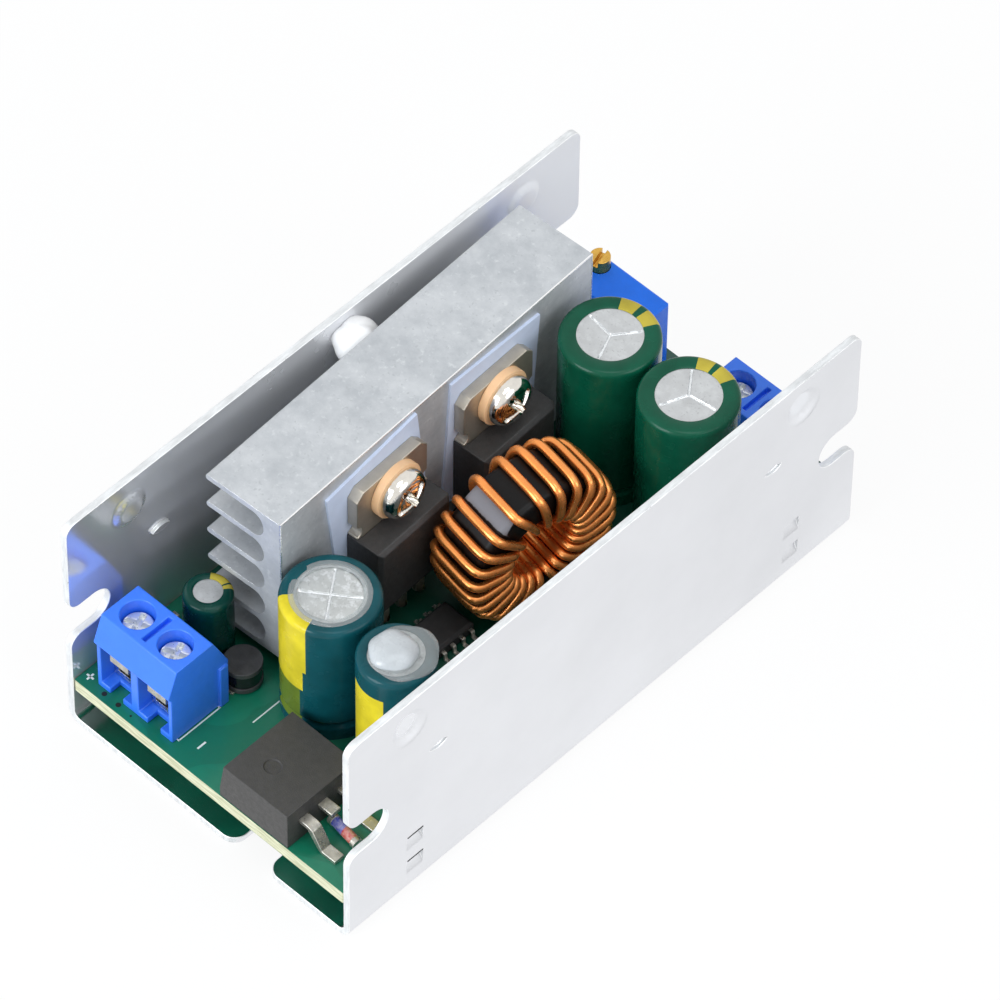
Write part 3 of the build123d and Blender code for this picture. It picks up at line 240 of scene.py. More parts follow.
def board_finish():
    """Green solder mask with faint copper areas under it, painted shade darkening it away from the input end,
    and a pale cut edge."""
    finish = Finish("board green", Metallic=0.0, Coat_Weight=0.3, Coat_Roughness=0.16)
    mask = linear(4, 112, 84)
    copper = linear(8, 124, 94)
    areas = finish.noise(190.0, 0.0)
    tracks = finish.span(areas, 0.0, 1.0, 0.5, 0.515)
    clouds = finish.noise(900.0)
    green = finish.mix(tracks, mask, copper)
    green = finish.mix(finish.span(clouds, 0.0, 0.14), green, linear(0, 76, 62))
    # Painted shade: the green goes darker from Y -23 mm to -15 mm, towards the far end
    green = finish.mix(finish.span(finish.axis("Y"), 0.0, 0.75, -23 * MM, -15 * MM), green, linear(2, 44, 34))
    height = finish.axis("Z")
    above = finish.span(height, 0.0, 1.0, BOARD_UNDER + 0.01 * MM, BOARD_UNDER + 0.03 * MM)
    below = finish.span(height, 1.0, 0.0, BOARD_TOP - 0.03 * MM, BOARD_TOP - 0.01 * MM)
    edge = finish.combine("MULTIPLY", above, below)
    layers = finish.ramp(
        finish.noise(1500.0, 2.0, vector=finish.mapped(scale=(0.3, 0.3, 4.0))),
        ((0.35, linear(176, 178, 136)), (0.65, linear(220, 220, 188))),
    )
    finish.colour(finish.mix(edge, green, layers))
    finish.rough(finish.span(clouds, 0.32, 0.48))
    finish.bump(areas, 0.3, 0.05 * MM)
    return finish.material


def clear_finish(name, colour, rough, see_through):
    """A clear body with faint waves in it."""
    finish = Finish(name, Transmission_Weight=see_through, IOR=1.45)
    clouds = finish.noise(500.0)
    finish.colour(finish.ramp(clouds, ((0.3, darker(colour, 0.93)), (0.7, colour))))
    finish.rough(finish.span(clouds, rough, rough * 2.2))
    finish.bump(finish.noise(900.0, 2.0), 0.3, 0.1 * MM)
    return finish.material


def diode_finish():
    """A glass tube, blue at one end and red at the other, split along the board's X."""
    finish = Finish("diode tube", Coat_Weight=1.0, Coat_Roughness=0.04)
    split = finish.span(finish.axis("X"), 0.0, 1.0, 13.35 * MM, 13.5 * MM)
    band = finish.mix(split, linear(30, 60, 190), linear(190, 40, 25))
    clouds = finish.span(finish.noise(2500.0), 0.0, 0.45)
    finish.colour(finish.mix(clouds, band, linear(235, 225, 215)))
    finish.rough(finish.span(finish.noise(1500.0), 0.1, 0.25))
    return finish.material


def can_finish(name, colour, patches):
    """Drawn aluminium with fine pits, and pale patches by a share."""
    finish = Finish(name, Metallic=0.7)
    clouds = finish.noise(600.0, 5.0, 0.65)
    base = finish.ramp(clouds, ((0.35, darker(colour, 0.93)), (0.65, darker(colour, 1.06))))
    pale = finish.span(finish.noise(1100.0, 4.0, 0.65), 0.0, patches, 0.5, 0.62)
    base = finish.mix(pale, base, linear(222, 225, 226))
    pits = finish.span(finish.noise(4200.0, 2.0), 0.0, 0.6, 0.62, 0.7)
    finish.colour(finish.mix(pits, base, darker(colour, 0.68)))
    finish.rough(finish.span(clouds, 0.3, 0.44))
    finish.bump(clouds, 0.25, 0.03 * MM)
    return finish.material


def sleeve_finish(name, colour):
    """Shrink sleeve: deep colour with soft clouds, a low gloss and faint wrinkles."""
    finish = Finish(name, Specular_IOR_Level=0.18, Coat_Weight=0.06, Coat_Roughness=0.1)
    clouds = finish.noise(330.0)
    finish.colour(finish.ramp(clouds, ((0.3, darker(colour, 0.82)), (0.7, darker(colour, 1.16)))))
    finish.rough(finish.span(finish.noise(560.0, 2.0), 0.16, 0.3))
    finish.bump(finish.noise(900.0, 2.0), 0.25)
    return finish.material


def core_finish():
    """Black coated ring with a painted grey reflection between two of its upper turns: a band of the angle
    round the ring, ragged at one side."""
    finish = Finish("core black", Specular_IOR_Level=0.2)
    clouds = finish.noise(900.0)
    base = finish.ramp(clouds, ((0.3, linear(8, 7, 7)), (0.7, linear(16, 14, 14))))
    across = finish.combine("SUBTRACT", finish.axis("X"), CHOKE_CENTRE[0] * MM)
    along = finish.combine("SUBTRACT", finish.axis("Y"), CHOKE_CENTRE[1] * MM)
    yawed = finish.combine("MULTIPLY", across, math.tan(math.radians(-CHOKE_YAW)))
    along = finish.combine("ADD", along, yawed)
    upward = finish.combine("SUBTRACT", finish.axis("Z"), CHOKE_CENTRE[2] * MM)
    angle = finish.combine("ARCTAN2", upward, along)
    ragged = finish.combine("MULTIPLY", finish.combine("SUBTRACT", finish.noise(1800.0), 0.5), 0.04)
    angle = finish.combine("ADD", angle, ragged)
    first = finish.span(angle, 0.0, 1.0, math.radians(CORE_REFLECTION[0]), math.radians(CORE_REFLECTION[0] + 0.5))
    last = finish.span(angle, 1.0, 0.0, math.radians(CORE_REFLECTION[1]), math.radians(CORE_REFLECTION[1] + 0.5))
    side = finish.span(across, 1.0, 0.0, CORE_REFLECTION[2] * MM, (CORE_REFLECTION[2] + 0.05) * MM)
    reflection = finish.combine("MULTIPLY", finish.combine("MULTIPLY", first, last), side)
    # Grey painted reflection laid over the black coat
    finish.colour(finish.mix(reflection, base, linear(122, 123, 129)))
    finish.rough(finish.span(clouds, 0.3, 0.5))
    finish.bump(finish.noise(2500.0, 2.0), 0.3)
    return finish.material


def worn_metal(name, colour, metal=1.0, rough=(0.22, 0.42), spread=0.2, grain=1200.0, bump=0.3):
    """Plated or bare metal with cloudy tarnish and uneven gloss."""
    return plain_finish(name, colour, spread, grain, rough, bump, 3000.0, Metallic=metal)


class Palette:
    """Every finish of the module, each made once when it is first asked for."""

    MAKERS = {
        "tray": lambda c: tray_finish((234, 235, 238)),
        "tray_cut": lambda c: cut_finish("tray cut edge", linear(228, 230, 231), 0.4, 0.4),
        "tray_edge": lambda c: cut_finish("tray rounded edge", linear(244, 245, 246), 0.25, 0.6),
        "heatsink": lambda c: heatsink_finish(),
        # Near-white full metal: the real rounded edges catch light, and this finish paints that highlight
        # brighter
        "heatsink_highlight": lambda c: worn_metal("heatsink edge", linear(252, 252, 252), 1.0, (0.2, 0.3), 0.02),
        "board": lambda c: board_finish(),
        "solder": lambda c: worn_metal("solder", linear(196, 198, 200), rough=(0.15, 0.35)),
        "screw": lambda c: worn_metal("screw steel", linear(226, 222, 214), rough=(0.07, 0.16), spread=0.06),
        "terminal_screw": lambda c: worn_metal(
            "terminal screw", linear(234, 236, 232), 0.5, (0.26, 0.34), 0.06, bump=0.15,
        ),
        "clamp": lambda c: worn_metal("clamp steel", linear(214, 214, 212), rough=(0.18, 0.32), spread=0.1),
        "tinned": lambda c: worn_metal("tinned metal", linear(196, 193, 184), 0.85, rough=(0.22, 0.42)),
        "tab": lambda c: worn_metal(
            "tab metal", linear(186, 178, 164), 0.75, (0.28, 0.42), 0.07, 900.0, 0.15,
        ),
        "terminal": lambda c: plain_finish(
            "terminal plastic", linear(*c.terminal_screen), 0.04, rough=(0.32, 0.44), bump=0.2,
            Coat_Weight=0.1, Coat_Roughness=0.3,
        ),
        "trimmer": lambda c: plain_finish(
            "trimmer plastic", linear(30, 116, 240), 0.05, rough=(0.32, 0.44), bump=0.2,
            Specular_IOR_Level=0.3,
        ),
        "brass": lambda c: worn_metal("trimmer brass", linear(214, 170, 84), rough=(0.2, 0.36)),
        "core": lambda c: core_finish(),
        "copper": lambda c: plain_finish(
            "winding copper", linear(246, 170, 98), 0.07, 500.0, (0.24, 0.32), 0.04, 1500.0,
            Metallic=0.85, Coat_Weight=0.5, Coat_Roughness=0.12, Coat_Tint=linear(255, 214, 160),
        ),
        "coil": lambda c: plain_finish("drum coil", linear(26, 25, 26), 0.2, 900.0, (0.1, 0.2), 0.3, 2500.0),
        "can": lambda c: can_finish("can metal", linear(197, 199, 200), 0.25),
        "can_dull": lambda c: can_finish("can metal under glue", linear(196, 199, 198), 0.9),
        # Lighter finish in the vent grooves: a painted highlight over the real groove relief
        "vent_highlight": lambda c: plain_finish(
            "scored line", linear(238, 240, 241), 0.05, 900.0, (0.2, 0.35), 0.2, Metallic=0.5,
        ),
        "sleeve_green": lambda c: sleeve_finish("sleeve green", linear(8, 80, 58)),
        "sleeve_pine": lambda c: sleeve_finish("sleeve pine", linear(8, 62, 54)),
        "sleeve_teal": lambda c: sleeve_finish("sleeve teal", linear(14, 76, 84)),
        "sleeve_gold": lambda c: sleeve_finish("sleeve gold", linear(182, 166, 62)),
        "sleeve_yellow": lambda c: sleeve_finish("sleeve yellow", linear(220, 202, 44)),
        "sleeve_olive": lambda c: sleeve_finish("sleeve olive", linear(104, 124, 40)),
        "package": lambda c: plain_finish(
            "package black", linear(56, 55, 55), 0.15, 1500.0, (0.42, 0.55), 0.6, 9000.0,
        ),
        "package_light": lambda c: plain_finish(
            "flat package black", linear(64, 63, 62), 0.12, 1500.0, (0.45, 0.6), 0.6, 9000.0,
        ),
        "pad": lambda c: plain_finish(
            "pad blue", linear(212, 224, 248), 0.04, 500.0, (0.4, 0.55), 0.2, 2500.0, Subsurface_Weight=0.1,
            Subsurface_Radius=(0.0005, 0.0005, 0.0005),
        ),
        "bushing": lambda c: plain_finish(
            "bushing peach", linear(240, 196, 150), 0.06, 500.0, (0.35, 0.5), 0.2, 2500.0,
            Subsurface_Weight=0.2, Subsurface_Radius=(0.0006, 0.0004, 0.0003),
        ),
        "drum": lambda c: plain_finish(
            "drum black", linear(66, 66, 67), 0.25, 900.0, (0.35, 0.55), 0.5, 2500.0,
        ),
        "diode": lambda c: diode_finish(),
        "ceramic": lambda c: plain_finish("chip ceramic", linear(74, 58, 48), 0.25, 900.0, (0.3, 0.5)),
        "glue": lambda c: clear_finish("glue clear", linear(236, 240, 240), 0.1, 0.75),
        "glue_white": lambda c: plain_finish(
            "glue white", linear(198, 203, 206), 0.05, 500.0, (0.2, 0.36), 0.6, 900.0,
            Subsurface_Weight=0.3, Subsurface_Radius=(0.001, 0.001, 0.001), Coat_Weight=0.25,
        ),
        "sealant": lambda c: plain_finish(
            "sealant white", linear(248, 248, 248), 0.02, 500.0, (0.35, 0.5), 0.5, 1200.0,
            Subsurface_Weight=0.3, Subsurface_Radius=(0.001, 0.001, 0.001),
        ),
        "print": lambda c: plain_finish("silkscreen white", linear(232, 240, 236), 0.05, 1500.0, (0.5, 0.65)),
        # Near-black: painted shade in the lance gaps and in the open vias
        "gap_shade": lambda c: plain_finish("slit dark", linear(12, 14, 14), 0.1, 900.0, (0.6, 0.8), 0.1),
    }

    def __init__(self):
        self.made = {}

    def __getitem__(self, name):
        if name not in self.made:
            self.made[name] = self.MAKERS[name](bpy.context.scene.converter_colours)
        return self.made[name]


palette = Palette()


# Meshes

def grid_faces(rows, columns, close_rows=False):
    """Corner numbers of the quads of a rows by columns grid of points. The columns wrap round, and so do the
    rows where they close."""
    i = np.arange(rows if close_rows else rows - 1)
    j = np.arange(columns)
    i, j = np.meshgrid(i, j, indexing="ij")
    down = (i + 1) % rows
    along = (j + 1) % columns
    corners = (i * columns + j, i * columns + along, down * columns + along, down * columns + j)
    return np.stack(corners, -1).reshape(-1, 4)


def new_piece(name, points, faces, materials, body, slots=None, crease=35.0):
    """A finished piece from a table of points and quads: doubles merged, faces outwards, smooth with
    creases."""
    mesh = bpy.data.meshes.new(name)
    mesh.from_pydata(np.asarray(points).reshape(-1, 3), [], faces.tolist())
    for material in materials:
        mesh.materials.append(material)
    if slots is not None:
        mesh.polygons.foreach_set("material_index", np.asarray(slots, dtype=np.int32))
    work = bmesh.new()
    work.from_mesh(mesh)
    bmesh.ops.remove_doubles(work, verts=work.verts, dist=1e-7)
    bmesh.ops.dissolve_degenerate(work, edges=work.edges, dist=1e-8)
    bmesh.ops.recalc_face_normals(work, faces=work.faces)
    work.to_mesh(mesh)
    work.free()
    mesh.shade_smooth()
    mesh.set_sharp_from_angle(angle=math.radians(crease))
    piece = bpy.data.objects.new(name, mesh)
    bpy.context.scene.collection.objects.link(piece)
    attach(piece, body)
    return piece


def dressed(node, *finishes, bevel=0.0, crease=32.0, second=None, edge_slot=-1, reshape=None):
    """A copy of a CAD node with its triangles merged, flats joined, edges rounded and a finish. second picks
    the faces of the second finish from tables of normals and centres, and edge_slot dresses the rounding.
    reshape takes the table of corners in millimetres and gives it back moved."""
    source = NODES[node]
    mesh = source.data.copy()
    mesh.name = node + "_surface"
    mesh.transform(source.matrix_world)
    work = bmesh.new()
    work.from_mesh(mesh)
    bmesh.ops.remove_doubles(work, verts=work.verts, dist=1e-6)
    bmesh.ops.dissolve_limit(work, angle_limit=math.radians(0.5), verts=work.verts, edges=work.edges)
    work.to_mesh(mesh)
    work.free()
    if reshape:
        corners = np.empty(3 * len(mesh.vertices), dtype=np.float32)
        mesh.vertices.foreach_get("co", corners)
        corners = reshape(corners.reshape(-1, 3) / MM) * MM
        mesh.vertices.foreach_set("co", corners.astype(np.float32).reshape(-1))
        mesh.update()
    if "custom_normal" in mesh.attributes:
        mesh.attributes.remove(mesh.attributes["custom_normal"])
    mesh.materials.clear()
    for finish in finishes:
        mesh.materials.append(palette[finish])
    slots = np.zeros(len(mesh.polygons), dtype=np.int32)
    if second:
        normals = np.empty(3 * len(slots), dtype=np.float32)
        centres = np.empty(3 * len(slots), dtype=np.float32)
        mesh.polygon_normals.foreach_get("vector", normals)
        mesh.polygons.foreach_get("center", centres)
        slots[second(normals.reshape(-1, 3), centres.reshape(-1, 3) / MM)] = 1
    mesh.polygons.foreach_set("material_index", slots)
    mesh.shade_smooth()
    mesh.set_sharp_from_angle(angle=math.radians(crease))
    piece = bpy.data.objects.new(node + "_finished", mesh)
    bpy.context.scene.collection.objects.link(piece)
    if bevel:
        rounding = piece.modifiers.new("rounded edges", "BEVEL")
        rounding.width = bevel * MM
        rounding.segments = 2
        rounding.limit_method = "ANGLE"
        rounding.angle_limit = math.radians(crease)
        rounding.material = edge_slot
        normals = piece.modifiers.new("even shading", "WEIGHTED_NORMAL")
        normals.keep_sharp = True
    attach(piece, BODY_OF[node])
    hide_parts(node)
    return piece


def carried(node, finish):
    """A CAD node shown as it is, with a finish in its material slots."""
    node_object = NODES[node]
    if not node_object.material_slots:
        node_object.data.materials.append(palette[finish])
    for slot in node_object.material_slots:
        slot.material = palette[finish]


def turned_table(profile, centre, columns=96, relief=None, close=False):
    """Points and quads of a profile of (radius, height) turned about Z at the centre: radius times the cosine
    and the sine of the angle. relief adds heights."""
    profile = np.asarray(profile, dtype=float)
    angle = np.arange(columns) * 2 * math.pi / columns
    radius, angle_grid = np.meshgrid(profile[:, 0], angle, indexing="ij")
    height = np.repeat(profile[:, 1:2], columns, axis=1)
    x = radius * np.cos(angle_grid)
    y = radius * np.sin(angle_grid)
    if relief is not None:
        height = height + relief(x, y, height)
    points = np.stack((x, y, height), -1) * MM + np.asarray(centre)
    return points.reshape(-1, 3), grid_faces(len(profile), columns, close_rows=close)


def joined(name, parts, finishes, body, crease=50.0):
    """Several tables of (points, quads, slot) as one piece."""
    starts = np.cumsum([0] + [len(points) for points, _, _ in parts])
    points = np.concatenate([points for points, _, _ in parts])
    faces = np.concatenate([faces + start for (_, faces, _), start in zip(parts, starts)])
    slots = np.concatenate([np.full(len(faces), slot) for _, faces, slot in parts])
    return new_piece(name, points, faces, [palette[finish] for finish in finishes], body, slots, crease)


def lump(centre, sizes, wave, seed, rows=24, columns=48):
    """Points and quads of a blob: a ball stretched to half sizes, its radius swelling and shrinking by a
    share of sines of the two angles."""
    down = np.linspace(0.0, math.pi, rows)[:, None]
    round_ = np.arange(columns)[None, :] * 2 * math.pi / columns
    large = np.sin(3 * round_ + seed) * np.sin(2 * down)
    small = np.sin(5 * round_ - 2 * seed + 3 * down)
    swell = 1 + wave * (large + 0.6 * small) * np.sin(down)
    x = sizes[0] * swell * np.sin(down) * np.cos(round_)
    y = sizes[1] * swell * np.sin(down) * np.sin(round_)
    z = sizes[2] * swell * np.cos(down) * np.ones_like(round_)
    points = np.stack((x, y, z), -1)
    return ((points + np.asarray(centre)) * MM).reshape(-1, 3), grid_faces(rows, columns)


def tube(path, side, radius, sides=16):
    """A round section carried along a path: the path's point plus radius times the cosine of the angle along
    the side vector and its sine along the vector across both. Both ends are closed."""
    along = np.gradient(path, axis=0)
    along /= np.linalg.norm(along, axis=1, keepdims=True)
    side = side - along * np.sum(side * along, axis=1, keepdims=True)
    side /= np.linalg.norm(side, axis=1, keepdims=True)
    other = np.cross(along, side)
    angle = np.arange(sides) * 2 * math.pi / sides
    ring = side[:, None, :] * np.cos(angle)[None, :, None] + other[:, None, :] * np.sin(angle)[None, :, None]
    points = path[:, None, :] + radius * ring
    start = np.repeat(path[:1, None, :], sides, axis=1)
    end = np.repeat(path[-1:, None, :], sides, axis=1)
    points = np.concatenate((start, points, end), axis=0)
    return points.reshape(-1, 3), grid_faces(len(path) + 2, sides)


def bars(name, boxes, finish, body):
    """Thin bars along the axes in one mesh: each is (x, y, z, size along X, Y and Z), in millimetres."""
    boxes = np.asarray(boxes, dtype=float)
    corner = np.array([(sx, sy, sz) for sx in (-0.5, 0.5) for sy in (-0.5, 0.5) for sz in (-0.5, 0.5)])
    points = (boxes[:, None, :3] + boxes[:, None, 3:] * corner[None]) * MM
    quads = np.array([(0, 1, 3, 2), (4, 6, 7, 5), (0, 4, 5, 1), (2, 3, 7, 6), (0, 2, 6, 4), (1, 5, 7, 3)])
    faces = (quads[None] + 8 * np.arange(len(boxes))[:, None, None]).reshape(-1, 4)
    return new_piece(name, points, faces, [palette[finish]], body)


def smooth_step(value, start, end):
    """0 before start, 1 after end, and 3 t squared minus 2 t cubed between."""
    t = np.clip((value - start) / (end - start), 0.0, 1.0)
    return t * t * (3 - 2 * t)


def groove(distance, half_width, depth):
    """The depth of a soft groove at a distance from its middle line."""
    return -depth * (1 - smooth_step(distance, 0.35 * half_width, half_width))


def arm_distance(x, y, turn, reach, arms):
    """The least distance from a point to straight arms of one reach that leave the centre evenly round."""
    least = np.full(np.shape(x), 1e9)
    for arm in range(arms):
        angle = math.radians(turn + 360.0 * arm / arms)
        along = x * math.cos(angle) + y * math.sin(angle)
        across = -x * math.sin(angle) + y * math.cos(angle)
        past = along - np.clip(along, 0.0, reach)
        least = np.minimum(least, np.hypot(across, past))
    return least


def quarter_round(middle_radius, middle_height, radius, count):
    """Points of a profile's rounded top edge: a quarter circle about its middle, from level to upright."""
    angle = np.radians(np.linspace(0, 90, count))
    return [(middle_radius + radius * math.cos(a), middle_height + radius * math.sin(a)) for a in angle]


# Sizes and colours that a user would change

class ConverterSizes(bpy.types.PropertyGroup):
    """Sizes of the pieces that are made here."""

    wire: bpy.props.FloatProperty(
        name="Wire", description="Diameter of the winding wire", default=0.97 * MM, unit="LENGTH",
        precision=5,
    )
    edge: bpy.props.FloatProperty(
        name="Edge", description="Rounding of the sheared sheet edges, in millimetres", default=0.07,
    )
    groove: bpy.props.FloatProperty(
        name="Vent depth", description="Depth of the scored vents in the cans", default=0.16 * MM,
        unit="LENGTH", precision=5,
    )


class ConverterColours(bpy.types.PropertyGroup):
    """Colours that a user would change, as screen colours from 0 to 255."""

    terminal_screen: bpy.props.IntVectorProperty(
        name="Terminal", description="Screen colour of the terminal housings", default=(50, 120, 244),
        min=0, max=255,
    )


# Operators

WALL_OUTSIDE = 19.0
TONGUE_MIDDLE = -26.1
TONGUE_TOPS = (8.62, 4.97)
# Sizes of the near-black bars of painted shade in the lance gaps
SLIT = (0.03, 2.1, 0.17)


class CONVERTER_OT_tray(bpy.types.Operator):
    """Dress the folded tray, with near-black bars of painted shade in the sheared gaps at the input end's
    tongues
    """

    bl_idname = "converter.tray"
    bl_label = "Tray"

    def execute(self, context):
        def cut(normals, centres):
            across = np.abs(normals[:, 1]) > 0.7
            upward = (np.abs(normals[:, 2]) > 0.7) & (centres[:, 2] > 2.0)
            return across | upward

        dressed(
            "tray", "tray", "tray_cut", "tray_edge", bevel=context.scene.converter_sizes.edge, crease=25.0,
            second=cut, edge_slot=2,
        )
        places = [(side * WALL_OUTSIDE, TONGUE_MIDDLE, z) for side in (-1, 1) for z in TONGUE_TOPS]
        # Near-black bars where the gaps lie in shade: painted shade
        bars("lance_slit_shade", [(*place, *SLIT) for place in places], "gap_shade", "module")
        return {"FINISHED"}


BOARD_HALF = (18.1, 34.9)
BOARD_ROUND = 0.8
PRINT_THICK = 0.03
TERMINAL_LINE = ((-5.72, -30.3, 0.14, 5.5), (-6.0, -33.05, 0.7, 0.14), (-6.0, -27.55, 0.7, 0.14))
DRUM_LINE = ((-2.2, -24.3, 0.14, 4.6),)
MINUS = ((-3.76, -31.94, 0.2, 1.1),)
PLUS = ((-17.24, -33.6, 0.9, 0.2), (-17.24, -33.6, 0.2, 0.9))
VIAS = ((-14.8, -34.1, 0.28), (-12.9, -34.1, 0.28), (-11.1, -34.2, 0.12))


def square_corners(points):
    """Each corner's quarter round pushed out to the square: offsets from its centre times the radius, divided
    by the larger of the two."""
    middle = np.array(BOARD_HALF) - BOARD_ROUND
    offset = np.abs(points[:, :2]) - middle
    largest = np.maximum(offset.max(axis=1, keepdims=True), 1e-6)
    corner = (offset > 1e-3).all(axis=1)
    square = np.sign(points[:, :2]) * (offset * BOARD_ROUND / largest + middle)
    moved = points.copy()
    moved[corner, :2] = square[corner]
    return moved


class CONVERTER_OT_board(bpy.types.Operator):
    """Dress the board, print its marks and cover its small open vias with near-black discs of painted shade
    """

    bl_idname = "converter.board"
    bl_label = "Board"

    def execute(self, context):
        dressed("circuit_board", "board", reshape=square_corners)
        carried("solder_joints", "solder")
        top = BOARD_TOP / MM + PRINT_THICK / 2
        strokes = (*TERMINAL_LINE, *DRUM_LINE, *MINUS, *PLUS)
        marks = [(x, y, top, long, wide, PRINT_THICK) for x, y, long, wide in strokes]
        bars("board_marks", marks, "print", "module")
        # Open vias as near-black discs: painted shade for their holes
        discs = []
        for x, y, radius in VIAS:
            profile = ((0.0, top), (radius, top), (radius, top - PRINT_THICK))
            discs.append((*turned_table(profile, (x * MM, y * MM, 0.0), 24), 0))
        joined("board_vias", discs, ["gap_shade"], "module")
        return {"FINISHED"}


HEATSINK_PLACE = (-5.4, 2.0)
HEATSINK_YAW = 2.7
HEATSINK_TURN = Matrix.Rotation(math.radians(HEATSINK_YAW), 4, "Z")
HEATSINK_HEIGHTS = (8.6, 29.3)
HEATSINK_LENGTH = 44.8
FINS = 6
FIN_MADE = 1.2
FIN_SHOWN = 0.7
PLATE = 2.2
BRIGHT_RADIUS = 0.1
BRIGHT_INSET = 0.08
SCREW_SEAT = 2.5
SCREW_HEIGHT = 23.6
SCREW_PLACES = (-8.4, 6.9)
SCREW_TURN = 30.0
SCREW_HEAD = {"radius": 2.7, "under": 0.0, "top": 1.9, "dome": 0.35, "edge": 1.1}
SCREW_CROSS = (3.1, 0.7, 1.0)
SCREW_SHAFT = (1.475, -4.5)
SEALANT_PLACE = (-16.6, 2.2, 26.9)
SEALANT_HALF = (2.3, 2.5, 2.1)


def thin_fins(points):
    """The fins thinned towards their own middles, which move to stay evenly spaced. Heights between the faces
    of the fins follow in proportion."""
    turn = math.radians(HEATSINK_YAW)
    depth = (points[:, :2] - np.array(HEATSINK_PLACE)) @ np.array((math.cos(turn), math.sin(turn)))
    low, high = HEATSINK_HEIGHTS
    number = np.arange(FINS)

    def faces(thick):
        under = low + number * (high - low - thick) / (FINS - 1)
        return np.stack((under, under + thick), -1).reshape(-1)

    moved = points.copy()
    behind = depth < -PLATE - 0.01
    moved[behind, 2] = np.interp(points[behind, 2], faces(FIN_MADE), faces(FIN_SHOWN))
    return moved


def head_table(centre, cross, turn, shaft, radius, under, top, dome, edge):
    """Points and quads of a round screw head with a cross recess, with its shaft below. The top is a dome
    that drops by the recess depth where the distance to four arms is under half the slot's width. cross is
    the recess's length, width and depth, and shaft is the shaft's radius and lower end."""
    length, width, depth = cross
    flat = radius - edge
    shaft_r, shaft_low = shaft
    profile = [(0.0, shaft_low), (shaft_r, shaft_low), (shaft_r, under), (radius, under)]
    profile += quarter_round(flat, top - dome - edge, edge, 10)
    profile += [(flat * (1 - r), top - dome * (1 - r) ** 2) for r in np.linspace(0.0, 1.0, 26)[1:]]

    def relief(x, y, height):
        distance = arm_distance(x, y, turn, length / 2, 4)
        return np.where(height > under + 0.3, groove(distance, width / 2 + 0.12, depth), 0.0)

    return turned_table(profile, centre, 96, relief)


class CONVERTER_OT_heatsink(bpy.types.Operator):
    """Dress the heatsink, its two transistors, their screws and the sealant"""

    bl_idname = "converter.heatsink"
    bl_label = "Heatsink"

    def execute(self, context):
        # The bevels take the near-white second finish as a painted highlight
        dressed(
            "heatsink", "heatsink", "heatsink_highlight", bevel=0.18, crease=30.0, edge_slot=1, reshape=thin_fins,
        )
        for name in ("near", "far"):
            dressed("insulating_pad_" + name, "pad")
            dressed("transistor_body_" + name, "package", bevel=0.1)
            dressed("transistor_leads_" + name, "tab", bevel=0.09)
            dressed("bushing_" + name, "bushing", bevel=0.08)
        self.screws()
        self.sealant()
        self.edges()
        return {"FINISHED"}

    def screws(self):
        """The two pan-head screws as one piece: domed heads with cross recesses, turned to lie along X."""
        points, faces = head_table((0.0, 0.0, 0.0), SCREW_CROSS, SCREW_TURN, SCREW_SHAFT, **SCREW_HEAD)
        lie = np.array(HEATSINK_TURN @ Matrix.Rotation(math.radians(90), 4, "Y"))
        parts = []
        for along in SCREW_PLACES:
            seat = HEATSINK_TURN @ Vector((SCREW_SEAT, along, 0.0)) + Vector((*HEATSINK_PLACE, SCREW_HEIGHT))
            parts.append((points @ lie[:3, :3].T + np.array(seat) * MM, faces, 0))
        screws = joined("heatsink_screws_turned", parts, ["screw"], "module")
        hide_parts("heatsink_screws")

    def edges(self):
        """Lines of painted highlight along the plate's upper front edge and its two front corners: thin round
        bars in near-white metal.
        """
        low, high = HEATSINK_HEIGHTS
        half = HEATSINK_LENGTH / 2
        front = -BRIGHT_INSET
        end = half - BRIGHT_INSET
        lines = (
            ((front, -half, high - BRIGHT_INSET), (front, half, high - BRIGHT_INSET)),
            ((front, -end, low), (front, -end, high)),
            ((front, end, low), (front, end, high)),
        )
        turn = np.array(HEATSINK_TURN)[:3, :3].T
        parts = []
        for start, stop in lines:
            path = np.linspace(start, stop, 12) @ turn + np.array((*HEATSINK_PLACE, 0.0))
            points, faces = tube(path, np.array([(1.0, 0.0, 0.0)] * len(path)), BRIGHT_RADIUS, 12)
            parts.append((points * MM, faces, 0))
        joined("heatsink_edge_highlights", parts, ["heatsink_highlight"], "module")

    def sealant(self):
        """The dab of sealant, pressed flat against the wall."""
        points, faces = lump(SEALANT_PLACE, SEALANT_HALF, wave=0.07, seed=1.3)
        points[:, 0] = np.maximum(points[:, 0], -WALL_INSIDE)
        dab = joined("wall_sealant_dab", [(points, faces, 0)], ["sealant"], "module")
        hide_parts("wall_sealant")


CHOKE_MADE = (5.0, 3.0, 16.318)
CHOKE_CENTRE = (5.0, 3.0, 16.104)
CORE_INNER = 4.4
CORE_MADE = 8.5
CORE_SHOWN = 8.25
CHOKE_LEAN = 3.0
CHOKE_YAW = -8.0
# Painted reflection on the core: the angles round the ring that it spans, and the X offset where it ends
CORE_REFLECTION = (114.5, 129.5, 2.6)
FIRST_TURN = -78.0
TURN_PITCHES = (13.6,) * 9 + (14.0, 15.0, 15.5, 14.5, 23.5, 14.0) + (13.6,) * 8
SECTION_MIDDLE = 6.325
SECTION_RISE = 2.455
SECTION_HALF = 3.53
SECTION_POWER = 4.8
INNER_SPREAD = 1.1
LEAD_TIP = 3.3
TURN_STEPS = 64


def choke_turn():
    """The ring's lean about Y, then its turn about Z."""
    lean = Matrix.Rotation(math.radians(CHOKE_LEAN), 3, "Y")
    return Matrix.Rotation(math.radians(CHOKE_YAW), 3, "Z") @ lean


